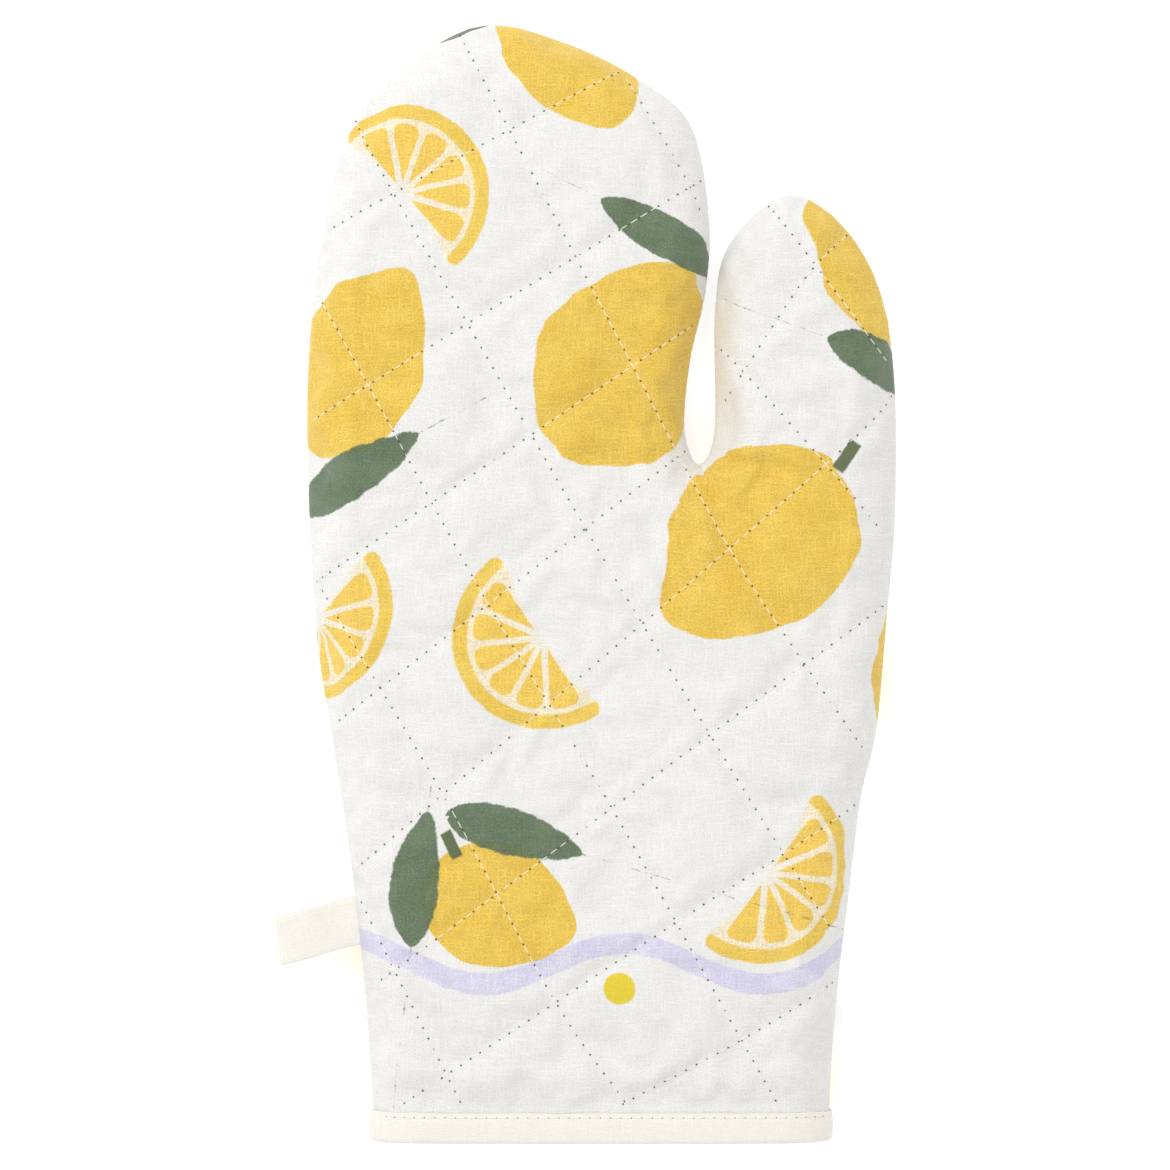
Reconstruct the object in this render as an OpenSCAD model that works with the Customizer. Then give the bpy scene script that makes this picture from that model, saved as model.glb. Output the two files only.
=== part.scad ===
// Quilted oven mitt with a thumb, lying flat on its back panel, fingers along +Y.
// Two quilted panels, each of an outer shell, a batting and a lining, are sewn together round
// their outline. The padding folds across the fingers and across the thumb, so each ply is
// three pieces there: palm, fingers and thumb.

/* [Outline] */
// Length from the edge of the cuff to the fingertips
mitt_length = 320; // [260:1:390]
// Width over the side of the hand and the thumb
mitt_width = 168; // [140:1:204]

/* [Padding] */
// Height of the side seam above the surface that the mitt lies on
seam_height = 10; // [9:0.5:14]
// Rise of the front panel over the seam, round its edge
front_loft = 13; // [11:0.5:18]
// Further rise of the front panel towards the middle
front_crown = 3; // [0:0.5:6]
// Width of the rounding along the front panel's edge
front_rim = 14; // [10:0.5:14]
// Width of the rounding along the back panel's edge
back_rim = 12; // [10:0.5:14]
// Share of the front panel's rise that is lost at the cuff
cuff_drop = 0.2; // [0:0.05:0.3]

/* [Plies] */
// Thickness of the printed outer cloth
shell_t = 0.6; // [0.4:0.1:1]
// Thickness of the batting
batting_t = 4; // [2.5:0.1:4.8]
// Thickness of the lining cloth
lining_t = 0.5; // [0.4:0.1:0.8]
// Gap between neighbouring plies, and between the front and back panels at the seam
ply_gap = 0.1; // [0.05:0.05:0.2]
// Share of the plies' thickness that is squeezed out under the binding
squeeze = 0.35; // [0:0.05:0.5]

/* [Cuff binding] */
// Height of the binding on the cuff
binding_w = 9; // [6:0.5:14]
// Thickness of the binding cloth
binding_t = 0.8; // [0.5:0.1:1.2]
// Distance of the topstitch from the binding's upper edge
topstitch_inset = 1.2; // [0.8:0.1:2.5]

/* [Hanging loop] */
// Width of the tape
tape_w = 14; // [10:0.5:20]
// Thickness of the tape
tape_t = 0.9; // [0.6:0.1:1.4]
// Distance that the loop stands out from the side seam
loop_reach = 22; // [18:0.5:32]
// Gap between the loop's two plies at the widest place
loop_bow = 6.6; // [5.6:0.1:8]
// Height of the loop's root above the cuff's edge
loop_at = 63.5; // [45:0.5:90]
// Angle by which the loop droops towards the cuff
loop_droop = 9; // [0:1:25]
// Clearance between the loop's root and the side of the mitt
loop_clearance = 0.7; // [0.6:0.05:0.9]

/* [Stitching] */
// Thickness of the sewing thread
thread_t = 0.3; // [0.2:0.05:0.5]
// Distance that the quilting stops short of the side seam
quilt_margin = 15; // [14:0.5:20]

/* [Folds] */
// Distance of the finger fold beyond the foot of the slot between hand and thumb
finger_fold = 28; // [20:1:40]
// Distance of the thumb fold beyond the foot of the slot
thumb_fold = 10; // [8:1:20]
// Gap between the plies on the two sides of a fold
fold_gap = 0.6; // [0.4:0.1:1]

/* [Hidden] */

FRONT = 1;
BACK = -1;
cloth_white = "ivory";
binding_cream = "cornsilk";
lining_cream = "oldlace";
print_yellow = "gold";
batting_grey = "gainsboro";
thread_cream = "wheat";

// The outline is drawn at these sizes and scaled to the ones above.
drawn_length = 320;
drawn_width = 168;
scale_x = mitt_width / drawn_width;
scale_y = mitt_length / drawn_length;

// The seam line from the cuff's left corner over the fingertips, down to the foot of the slot,
// over the thumb and down to the cuff's right corner.
left_side = [[-65.4, 0], [-66, 20], [-68.5, 52], [-72, 82], [-77, 115], [-81.5, 145],
    [-84, 190], [-83.8, 225], [-80, 260], [-71.5, 292], [-57, 308]];
fingertip = [-34, 320];
slot_hand_side = [[-10, 315], [12, 304], [26, 291], [31, 265], [30, 244], [25.6, 224], [24, 204]];
slot_foot = [28, 194];
slot_thumb_side = [[32.6, 204], [32.8, 238], [37, 257.5]];
thumb_tip = [53, 271.5];
right_side = [[69, 263], [80, 244], [84.2, 218], [84.4, 180], [82, 150], [79, 118], [74.5, 98],
    [71, 70], [68, 45], [66, 20], [65.4, 0]];
seam_line = [for (p = concat(left_side, [fingertip], slot_hand_side, [slot_foot],
        slot_thumb_side, [thumb_tip], right_side)) [p.x * scale_x, p.y * scale_y]];
fingertip_i = len(left_side);
slot_i = fingertip_i + len(slot_hand_side) + 1;
thumb_tip_i = slot_i + len(slot_thumb_side) + 1;
last_i = len(seam_line) - 1;
slot = seam_line[slot_i];

// A smooth curve through a stretch of the seam line, as [y, x] pairs for lookup().
curve_steps = 5;
function seam_at(i) = seam_line[max(0, min(last_i, i))];
function spline(a, b, c, d, t) =
    0.5 * (2 * b + (c - a) * t + (2 * a - 5 * b + 4 * c - d) * t * t
        + (3 * b - a - 3 * c + d) * t * t * t);
function edge_table(from, to) = [for (i = [from : to - 1], k = [0 : curve_steps])
    let (p = spline(seam_at(i - 1), seam_at(i), seam_at(i + 1), seam_at(i + 2), k / curve_steps))
    if (k < curve_steps || i == to - 1) [p.y, p.x]];
hand_left = edge_table(0, fingertip_i);
hand_right = edge_table(fingertip_i, slot_i);
thumb_left = edge_table(slot_i, thumb_tip_i);
thumb_right = edge_table(thumb_tip_i, last_i);

// Grid lines of the padding. Rows run across the mitt, and columns along it.
hand_cols = 12;
thumb_cols = 8;
palm_rows = 15;
base_rows = 3;
finger_rows = 11;
thumb_rows = 9;
tip_flat = 2; // drop of the seam line from a tip to the ends of the last row
wide_row = 60; // rows wider than this are divided finely at their ends, and short ones evenly
cuff_edge = binding_t + ply_gap;
finger_fold_y = slot.y + finger_fold;
thumb_fold_y = slot.y + thumb_fold;
fingertip_y = seam_line[fingertip_i].y;
thumb_tip_y = seam_line[thumb_tip_i].y;

function ease_both(k, n) = (1 - cos(180 * k / n)) / 2;
function ease_out(k, n) = sin(80 * k / n) / sin(80);
function row(y, xa, xb, n, arch = 0) =
    let (fine = smooth((xb - xa) / wide_row))
    [for (k = [0 : n]) let (s = fine * ease_both(k, n) + (1 - fine) * k / n)
        [xa + (xb - xa) * s, y + arch * (1 - pow(2 * s - 1, 2))]];
function hand_row(y, arch = 0) =
    row(y, lookup(y, hand_left), lookup(y, hand_right), hand_cols, arch);
function thumb_row(y, arch = 0) =
    row(y, lookup(y, thumb_left), lookup(y, thumb_right), thumb_cols, arch);
function palm_row(y) = concat(row(y, lookup(y, hand_left), slot.x, hand_cols),
    row(y, slot.x, lookup(y, thumb_right), thumb_cols));

palm_grid = concat(
    [for (k = [0 : palm_rows])
        palm_row(cuff_edge + (slot.y - cuff_edge) * ease_both(k, palm_rows))],
    [for (k = [1 : base_rows]) concat(
        hand_row(slot.y + (finger_fold - fold_gap / 2) * k / base_rows),
        thumb_row(slot.y + (thumb_fold - fold_gap / 2) * k / base_rows))]);
function lobe_y(from, tip, k, n) =
    from + fold_gap / 2 + (tip - tip_flat - from - fold_gap / 2) * ease_out(k, n);
fingers_grid = [for (k = [0 : finger_rows])
    hand_row(lobe_y(finger_fold_y, fingertip_y, k, finger_rows),
        k == finger_rows ? tip_flat : 0)];
thumb_grid = [for (k = [0 : thumb_rows])
    thumb_row(lobe_y(thumb_fold_y, thumb_tip_y, k, thumb_rows), k == thumb_rows ? tip_flat : 0)];

// The seam line again, through the ends of the rows, so that each end lies exactly on it.
function column(grid, i) = [for (r = grid) r[i]];
function reversed(list) = [for (i = [len(list) - 1 : -1 : 0]) list[i]];
function part_of(list, from, to) = [for (i = [from : to]) list[i]];
palm_last = palm_rows + base_rows;
palm_end_col = hand_cols + thumb_cols + 1;
palm_slot_hand = part_of(column(palm_grid, hand_cols), palm_rows, palm_last);
palm_slot_thumb = part_of(column(palm_grid, hand_cols + 1), palm_rows + 1, palm_last);
below_cuff = -binding_w; // the seam line runs on this far, for the binding's lower edge
outline = concat(
    [[seam_line[0].x, below_cuff]],
    column(palm_grid, 0),
    column(fingers_grid, 0),
    part_of(fingers_grid[finger_rows], 1, hand_cols - 1),
    reversed(column(fingers_grid, hand_cols)),
    reversed(palm_slot_hand),
    palm_slot_thumb,
    column(thumb_grid, 0),
    part_of(thumb_grid[thumb_rows], 1, thumb_cols - 1),
    reversed(column(thumb_grid, thumb_cols)),
    reversed(column(palm_grid, palm_end_col)),
    [[seam_line[last_i].x, below_cuff]]);

// The point of the seam line that is nearest to p, as [distance, direction away from it].
on_line = 0.001;
function toward(a, b, p) = let (ab = b - a) a + ab * max(0, min(1, (p - a) * ab / (ab * ab)));
function inward(a, b) = let (ab = b - a) [ab.y, -ab.x] / norm(ab);
function total(list, i = 0) = i == len(list) - 1 ? list[i] : list[i] + total(list, i + 1);
function nearest(p) =
    let (
        feet = [for (i = [0 : len(outline) - 2]) toward(outline[i], outline[i + 1], p)],
        far = [for (q = feet) norm(p - q)],
        d = min(far),
        touching = d > on_line ? [] : [for (i = [0 : len(far) - 1])
            if (far[i] <= on_line) inward(outline[i], outline[i + 1])],
        q = feet[search(d, far)[0]]
    )
    d > on_line ? [d, (p - q) / d] : [0, total(touching) / norm(total(touching))];

// Shape of the padding. A ply's face lies at a depth under the mitt's outer surface.
function smooth(x) = let (c = max(0, min(1, x))) c * c * (3 - 2 * c);
binding_run_out = 12; // length over which the padding recovers beyond the binding
binding_pinch = binding_t + thread_t + 3 * ply_gap;
cuff_run_out = 60; // length over which the front panel comes up to its full rise
crown_reach = 42; // distance from the seam at which the crown is at its full height
function at_binding(y) = 1 - smooth((y - binding_w) / binding_run_out);
function squeezed(depth, y) = depth * (1 - squeeze * at_binding(y));
function loft(side, y) = side == FRONT
    ? front_loft * (1 - cuff_drop * (1 - smooth(y / cuff_run_out)))
    : seam_height - ply_gap / 2;
function rim(side) = side == FRONT ? front_rim : back_rim;
function crown(side, d) = side == FRONT
    ? front_crown * (1 - pow(1 - min(d, crown_reach) / crown_reach, 2)) : 0;
function side_pull(d, side) = 1 - min(d, rim(side)) / rim(side);
// A point p of the grid, with n = nearest(p), on the surface that lies t under the outer one
function padded(p, n, side, t) =
    let (
        pull = side_pull(n[0], side),
        pinch = binding_pinch * at_binding(p.y),
        rise = (loft(side, p.y) - pinch - t) * sqrt(1 - pull * pull) + crown(side, n[0])
    )
    [p.x + n[1].x * t * pull, p.y + n[1].y * t * pull,
        seam_height + side * (ply_gap / 2 + rise)];

// Depth of each ply's two faces
SHELL = [0, shell_t];
BATTING = [SHELL[1] + ply_gap, SHELL[1] + ply_gap + batting_t];
LINING = [BATTING[1] + ply_gap, BATTING[1] + ply_gap + lining_t];
wall_t = LINING[1];

// A closed sheet between an upper and a lower face, both grids of the same size. Columns
// slot_col and slot_col + 1 are one line up to row slot_row, and apart beyond it.
function sheet_points(upper, lower) =
    concat([for (r = upper) each r], [for (r = lower) each r]);
function wall(a, b, under) = [[a, b, under + b], [a, under + b, under + a]];
function sheet_faces(rows, cols, slot_col, slot_row) =
    let (
        under = rows * cols,
        last_r = rows - 1,
        last_c = cols - 1,
        at = function (j, i) j * cols + (i == slot_col + 1 && j <= slot_row ? slot_col : i)
    )
    concat(
        [for (i = [0 : last_c - 1]) if (i != slot_col)
            each concat(wall(at(0, i), at(0, i + 1), under),
                wall(at(last_r, i + 1), at(last_r, i), under))],
        [for (j = [0 : last_r - 1])
            each concat(wall(at(j + 1, 0), at(j, 0), under),
                wall(at(j, last_c), at(j + 1, last_c), under))],
        slot_col < 0 ? [] : [for (j = [slot_row : last_r - 1])
            each concat(wall(at(j, slot_col), at(j + 1, slot_col), under),
                wall(at(j + 1, slot_col + 1), at(j, slot_col + 1), under))],
        [for (j = [0 : last_r - 1], i = [0 : last_c - 1]) if (i != slot_col)
            let (a = at(j, i), b = at(j + 1, i), c = at(j + 1, i + 1), d = at(j, i + 1))
            each [[a, b, c], [a, c, d], [under + a, under + c, under + b],
                [under + a, under + d, under + c]]]);

module ply(grid, side, depths, slot_col = -2, slot_row = 0) {
    near = [for (r = grid) [for (p = r) nearest(p)]];
    faces = [for (depth = depths) [for (j = [0 : len(grid) - 1])
        [for (i = [0 : len(grid[j]) - 1])
            let (p = grid[j][i]) padded(p, near[j][i], side, squeezed(depth, p.y))]]];
    upper = side == FRONT ? faces[0] : faces[1];
    lower = side == FRONT ? faces[1] : faces[0];
    polyhedron(sheet_points(upper, lower),
        sheet_faces(len(grid), len(grid[0]), slot_col, slot_row), convexity = 6);
}

// Height of the face that a quilting thread lies on, over any point that is clear of the rims:
// the outer cloth of the front panel, and the lining of the back panel.
function sewn_face_z(p, side) = side == FRONT
    ? seam_height + ply_gap / 2 + loft(FRONT, p.y) + crown(FRONT, nearest(p)[0])
    : seam_height - ply_gap / 2 - loft(BACK, p.y) + wall_t;

// A strip of four-sided section along a list of stations, each with its four corners. The
// corners go clockwise as seen from ahead of the strip.
function strip_faces(n) = concat([[0, 1, 2, 3]],
    [for (s = [0 : n - 2], k = [0 : 3]) let (a = 4 * s + k, b = 4 * s + (k + 1) % 4)
        each [[a, a + 4, b + 4], [a, b + 4, b]]],
    [[for (k = [3 : -1 : 0]) 4 * (n - 1) + k]]);
module strip(stations)
    polyhedron([for (s = stations) each s], strip_faces(len(stations)), convexity = 4);

// Quilting. Each line is drawn from its lower end to its upper one, at the drawn sizes. The
// second set of lines is sewn over the first, so it lies a thread higher.
rising_right = [
    [[-85, 257], [25, 317]],
    [[-85, 205], [35, 279]],
    [[-85, 158], [31, 237]],
    [[-85, 113], [23, 197]],
    [[-80, 70], [64, 194], [85, 218]],
    [[-72, 40], [31, 117], [58, 137], [84, 156]],
    [[-60, 9], [-44, 20], [22, 64], [52, 83], [76, 99]],
    [[-12, 0], [7, 12], [40, 30], [68, 47]],
    [[33, 208], [41, 221], [59, 248], [74, 263]]
];
rising_left = [
    [[31, 258], [25, 274], [5, 308], [0, 317]],
    [[84, 100], [58, 137], [36, 171], [9, 222], [-26, 289], [-40, 316]],
    [[76, 45], [52, 83], [31, 117], [-4, 175], [-59, 271], [-72, 296]],
    [[57, 0], [40, 30], [2, 98], [-32, 154], [-66, 216], [-80, 241]],
    [[14, 0], [7, 12], [-13, 41], [-45, 100], [-82, 162]],
    [[-34, 0], [-59, 50], [-76, 84]],
    [[86, 168], [64, 194], [40, 221], [33, 228]],
    [[86, 218], [76, 231], [51, 264], [46, 270]]
];
quilt_step = 9; // spacing of the points along a line
quilt_foot = binding_w + binding_run_out;
thread_w = 0.7;
thread_lift = 0.2; // height of the first set of lines over the cloth
function fold_y(x) = x < slot.x ? finger_fold_y : thumb_fold_y;
quilt_inset = quilt_margin * min(1, scale_x); // a narrow mitt keeps its lines on the thumb
function inside(p) = p.y > quilt_foot && nearest(p)[0] > quilt_inset
    && p.x > lookup(p.y, hand_left)
    && p.x < lookup(p.y, p.y < slot.y || p.x > slot.x ? thumb_right : hand_right)
    && (p.y < slot.y || p.x < slot.x || p.x > lookup(p.y, thumb_left));
function in_part(p, up, over_thumb) = inside(p)
    && (up > 0 ? (p.x > slot.x) == over_thumb : p.y < fold_y(p.x));

// One line of thread in a part, which lies above its fold (up = 1) or below it (up = -1)
module quilt_line(drawn, side, up, over_thumb, lift) {
    table = [for (p = drawn) [p.y * scale_y, p.x * scale_x]];
    last = len(table) - 1;
    run = table[last] - table[0];
    fold = up > 0 ? (over_thumb ? thumb_fold_y : finger_fold_y)
        : fold_y(lookup(finger_fold_y, table));
    steps = [for (j = [0 : ceil(mitt_length / quilt_step)])
        fold + up * (fold_gap + j * quilt_step * run[0] / norm(run))];
    points = [for (y = steps) if (y >= table[0][0] && y <= table[last][0]) [lookup(y, table), y]];
    ok = [for (p = points) in_part(p, up, over_thumb)];
    from = [for (i = [0 : 1 : len(ok) - 1]) if (ok[i] && (i == 0 || !ok[i - 1])) i];
    to = [for (i = [0 : 1 : len(ok) - 1]) if (ok[i] && (i == len(ok) - 1 || !ok[i + 1])) i];
    half = [-run[0], run[1]] / norm(run) * thread_w / 2 * up;
    for (r = [0 : 1 : len(from) - 1]) if (to[r] > from[r])
        strip([for (i = [from[r] : to[r]])
            let (p = points[i], base = sewn_face_z(p, side) + lift, top = base + thread_t)
            [[p.x + half.x, p.y + half.y, base], [p.x + half.x, p.y + half.y, top],
                [p.x - half.x, p.y - half.y, top], [p.x - half.x, p.y - half.y, base]]]);
}
module quilting(side, up, over_thumb = false)
    color(thread_cream) {
        for (drawn = rising_right) quilt_line(drawn, side, up, over_thumb, thread_lift);
        for (drawn = rising_left)
            quilt_line(drawn, side, up, over_thumb, thread_lift + thread_t + ply_gap);
    }

// The thread of the side seam, on the outside of the seam line
module seam_run(points) {
    base = seam_height - thread_t / 2;
    top = seam_height + thread_t / 2;
    color(thread_cream) strip([for (p = points)
        let (n = nearest(p)[1], near = p - n * ply_gap, far = p - n * (ply_gap + thread_t))
        [[near.x, near.y, base], [near.x, near.y, top], [far.x, far.y, top],
            [far.x, far.y, base]]]);
}
function above_binding(points) = [for (p = points) if (p.y > binding_w + 1) p];

// The binding is a U-shaped strip round the cuff's edge, with the plies between its legs.
function palm_foot(y) = let (r = palm_row(y)) [for (i = [0 : len(r) - 1]) if (i != hand_cols) r[i]];
function binding_ring(y, depth) =
    let (r = palm_foot(y), n = [for (p = r) nearest(p)], last = len(r) - 1)
    concat([for (i = [0 : last]) padded(r[i], n[i], FRONT, depth)],
        [for (i = [last : -1 : 0]) padded(r[i], n[i], BACK, depth)]);
function under_lining(y) = squeezed(wall_t, y) + ply_gap;
module ring(rings) {
    n = len(rings[0]);
    m = len(rings);
    polyhedron([for (r = rings) each r],
        [for (j = [0 : m - 1], i = [0 : n - 1])
            let (a = j * n + i, b = j * n + (i + 1) % n, c = (j + 1) % m * n + i,
                d = (j + 1) % m * n + (i + 1) % n)
            each [[a, d, b], [a, c, d]]], convexity = 6);
}

// The loop is a folded tape. Its side view is a teardrop with its point at the side seam.
loop_y = loop_at * scale_y;
loop_root = [lookup(loop_y, hand_left), loop_y];
seam_reach = 5; // half of the stretch over which the seam line's direction is taken
loop_lean = atan((lookup(loop_y - seam_reach, hand_left)
    - lookup(loop_y + seam_reach, hand_left)) / (2 * seam_reach));
loop_set_off = ply_gap + thread_t + loop_clearance;
loop_steps = 16;
function turned(p, a) = [p.x * cos(a) - p.y * sin(a), p.x * sin(a) + p.y * cos(a)];
function loop_corner(phi, out, across) =
    let (
        root_z = (tape_t + ply_gap) / 2,
        bow = (loop_bow + tape_t) / 2,
        mid = [loop_reach * sin(phi), root_z * cos(phi) + bow * sin(2 * phi)],
        along = [loop_reach * cos(phi), 2 * bow * cos(2 * phi) - root_z * sin(phi)],
        q = mid + out * tape_t / 2 * [-along.y, along.x] / norm(along),
        u = max(0, q.x),
        flat = turned([-loop_set_off - u, across * tape_w / 2 - u * tan(loop_droop)], loop_lean)
    )
    [loop_root.x + flat.x, loop_root.y + flat.y, seam_height + q.y];
loop_stations = [for (k = [0 : loop_steps]) let (phi = 180 * k / loop_steps)
    [loop_corner(phi, -1, -1), loop_corner(phi, -1, 1), loop_corner(phi, 1, 1),
        loop_corner(phi, 1, -1)]];

// The origin is under the middle of the mitt with its loop.
seam_bulge = ply_gap + thread_t;
least_x = min([for (s = loop_stations, p = s) p.x]);
most_x = max([for (p = outline) p.x]) + seam_bulge;
most_y = max([for (p = outline) p.y]) + seam_bulge;
module placed() translate([-(least_x + most_x) / 2, -most_y / 2, 0]) children();

module palm_ply(side, depths) placed() ply(palm_grid, side, depths, hand_cols, palm_rows);
module fingers_ply(side, depths) placed() ply(fingers_grid, side, depths);
module thumb_ply(side, depths) placed() ply(thumb_grid, side, depths);

module palm_front_shell() color(cloth_white) palm_ply(FRONT, SHELL);
module palm_front_batting() color(batting_grey) palm_ply(FRONT, BATTING);
module palm_front_lining() color(lining_cream) palm_ply(FRONT, LINING);
module palm_back_shell() color(cloth_white) palm_ply(BACK, SHELL);
module palm_back_batting() color(batting_grey) palm_ply(BACK, BATTING);
module palm_back_lining() color(lining_cream) palm_ply(BACK, LINING);

module fingers_front_shell() color(print_yellow) fingers_ply(FRONT, SHELL);
module fingers_front_batting() color(batting_grey) fingers_ply(FRONT, BATTING);
module fingers_front_lining() color(lining_cream) fingers_ply(FRONT, LINING);
module fingers_back_shell() color(print_yellow) fingers_ply(BACK, SHELL);
module fingers_back_batting() color(batting_grey) fingers_ply(BACK, BATTING);
module fingers_back_lining() color(lining_cream) fingers_ply(BACK, LINING);

module thumb_front_shell() color(print_yellow) thumb_ply(FRONT, SHELL);
module thumb_front_batting() color(batting_grey) thumb_ply(FRONT, BATTING);
module thumb_front_lining() color(lining_cream) thumb_ply(FRONT, LINING);
module thumb_back_shell() color(print_yellow) thumb_ply(BACK, SHELL);
module thumb_back_batting() color(batting_grey) thumb_ply(BACK, BATTING);
module thumb_back_lining() color(lining_cream) thumb_ply(BACK, LINING);

module palm_front_quilting() placed() quilting(FRONT, -1);
module palm_back_quilting() placed() quilting(BACK, -1);
module fingers_front_quilting() placed() quilting(FRONT, 1);
module fingers_back_quilting() placed() quilting(BACK, 1);
module thumb_front_quilting() placed() quilting(FRONT, 1, over_thumb = true);
module thumb_back_quilting() placed() quilting(BACK, 1, over_thumb = true);

module palm_seam_thread() placed() {
    seam_run(above_binding(column(palm_grid, 0)));
    seam_run(concat(reversed(palm_slot_hand), palm_slot_thumb));
    seam_run(reversed(above_binding(column(palm_grid, palm_end_col))));
}
module fingers_seam_thread() placed()
    seam_run(concat(column(fingers_grid, 0), part_of(fingers_grid[finger_rows], 1, hand_cols - 1),
        reversed(column(fingers_grid, hand_cols))));
module thumb_seam_thread() placed()
    seam_run(concat(column(thumb_grid, 0), part_of(thumb_grid[thumb_rows], 1, thumb_cols - 1),
        reversed(column(thumb_grid, thumb_cols))));

module cuff_binding() color(binding_cream) placed()
    ring([
        binding_ring(binding_w, -ply_gap - binding_t),
        binding_ring(0, -ply_gap - binding_t),
        binding_ring(0, under_lining(0) + binding_t),
        binding_ring(binding_w, under_lining(binding_w) + binding_t),
        binding_ring(binding_w, under_lining(binding_w)),
        binding_ring(binding_t, under_lining(binding_t)),
        binding_ring(binding_t, -ply_gap),
        binding_ring(binding_w, -ply_gap)
    ]);
module binding_topstitch() color(thread_cream) placed() {
    y = binding_w - topstitch_inset;
    near = -binding_t - 2 * ply_gap;
    ring([
        binding_ring(y + thread_w / 2, near - thread_t),
        binding_ring(y - thread_w / 2, near - thread_t),
        binding_ring(y - thread_w / 2, near),
        binding_ring(y + thread_w / 2, near)
    ]);
}
module hanging_loop() color(binding_cream) placed() strip(loop_stations);

palm_front_shell();
palm_front_batting();
palm_front_lining();
palm_back_shell();
palm_back_batting();
palm_back_lining();
fingers_front_shell();
fingers_front_batting();
fingers_front_lining();
fingers_back_shell();
fingers_back_batting();
fingers_back_lining();
thumb_front_shell();
thumb_front_batting();
thumb_front_lining();
thumb_back_shell();
thumb_back_batting();
thumb_back_lining();
palm_front_quilting();
palm_back_quilting();
fingers_front_quilting();
fingers_back_quilting();
thumb_front_quilting();
thumb_back_quilting();
palm_seam_thread();
fingers_seam_thread();
thumb_seam_thread();
cuff_binding();
binding_topstitch();
hanging_loop();
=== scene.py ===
"""A quilted cotton oven mitt, lying flat on its back panel with the cuff towards -Y."""
import math

import bmesh
import bpy
import numpy as np
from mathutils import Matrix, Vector, geometry, kdtree, noise
from mathutils.bvhtree import BVHTree


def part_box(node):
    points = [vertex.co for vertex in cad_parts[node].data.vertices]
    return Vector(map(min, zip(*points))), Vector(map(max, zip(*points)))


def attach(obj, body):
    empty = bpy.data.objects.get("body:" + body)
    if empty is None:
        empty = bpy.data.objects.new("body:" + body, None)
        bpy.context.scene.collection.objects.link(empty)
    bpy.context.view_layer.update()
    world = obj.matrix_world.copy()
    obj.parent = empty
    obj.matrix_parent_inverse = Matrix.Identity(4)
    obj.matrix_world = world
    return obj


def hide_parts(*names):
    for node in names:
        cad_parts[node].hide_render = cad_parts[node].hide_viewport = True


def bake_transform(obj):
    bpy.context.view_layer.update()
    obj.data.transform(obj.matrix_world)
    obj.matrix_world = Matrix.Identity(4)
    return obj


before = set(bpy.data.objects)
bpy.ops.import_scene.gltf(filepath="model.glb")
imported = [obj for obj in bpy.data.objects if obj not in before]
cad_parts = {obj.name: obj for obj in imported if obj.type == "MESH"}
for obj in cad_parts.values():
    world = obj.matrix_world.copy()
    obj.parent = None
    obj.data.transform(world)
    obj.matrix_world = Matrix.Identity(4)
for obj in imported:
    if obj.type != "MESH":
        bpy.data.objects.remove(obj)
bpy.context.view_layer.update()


# ---------------------------------------------------------------- linings
# The two linings are plain woven cotton, cut to the mitt's outline. They face the hand and show
# only through the open cuff. Their edges are caught in the seam and under the binding.
# Cutting patterns are drawn in millimetres from the middle of the cuff's edge.
cuff_low, cuff_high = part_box("cuff_binding")
PATTERN_X = 1000 * (cuff_low.x + cuff_high.x) / 2
PATTERN_Y = 1000 * cuff_low.y
MM = 0.001

LEFT_SIDE = [(-65.4, -9), (-65.4, 0), (-66, 20), (-68.5, 52), (-72, 82), (-77, 115),
             (-81.5, 145), (-84, 190), (-83.8, 225), (-80, 260), (-71.5, 292), (-57, 308)]
FINGERTIP = [(-34, 320), (-10, 315), (12, 304), (26, 291), (31, 265), (30, 244),
             (25.6, 224), (24, 204)]
SLOT_FOOT = (28, 194)
THUMB_TIP = [(32.6, 204), (32.8, 238), (37, 257.5), (53, 271.5), (69, 263), (80, 244)]
RIGHT_SIDE = [(84.2, 218), (84.4, 180), (82, 150), (79, 118), (74.5, 98), (71, 70), (68, 45),
              (66, 20), (65.4, 0), (65.4, -9)]
SEAM_Z, PLY_GAP = 10.0, 0.1
FRONT, BACK = 1, -1
SIDES = ((FRONT, "front"), (BACK, "back"))
RIM = {FRONT: 14.0, BACK: 12.0}         # how far in from the seam each panel curves down
FRONT_LOFT, BACK_LOFT = 13.0, 9.95      # how far each panel stands off the seam
CROWN, CROWN_REACH = 3.0, 42.0          # the front's further rise, and where it levels out
CUFF_LOWER, CUFF_SLOPE = 0.2, 60.0      # the front is flatter at the cuff
CUFF_PINCH, CUFF_SQUEEZE = 1.4, 0.35    # what the binding's stitches press out of the plies
BINDING_W, BINDING_T, BINDING_FADE = 9.0, 0.8, 12.0
SHELL_T, BATTING_T, LINING_T = 0.6, 4.0, 0.5
RIM_SHARE = 0.8                         # how much of the rim has rows of faces along it


def ease(x):
    x = np.clip(x, 0, 1)
    return x * x * (3 - 2 * x)


def smooth_line(points, step):
    """A smooth line through the points, at an even step."""
    p = [np.array(q, float) for q in points]
    p = [2 * p[0] - p[1]] + p + [2 * p[-1] - p[-2]]
    fine = []
    for a, b, c, d in zip(p, p[1:], p[2:], p[3:]):
        for t in np.arange(0, 1, 0.05):
            fine.append(0.5 * (2 * b + (c - a) * t + (2 * a - 5 * b + 4 * c - d) * t * t
                               + (3 * b - a - 3 * c + d) * t ** 3))
    fine = np.array(fine + [p[-2]])
    return even_steps(fine, step)


def run_along(line):
    """How far along a line each of its points lies."""
    return np.concatenate([[0], np.cumsum(np.linalg.norm(np.diff(line, axis=0), axis=1))])


def even_steps(line, step):
    along = run_along(line)
    count = max(2, int(round(along[-1] / step)) + 1)
    at = np.linspace(0, along[-1], count)
    return np.stack([np.interp(at, along, line[:, k]) for k in range(line.shape[1])], 1)


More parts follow.
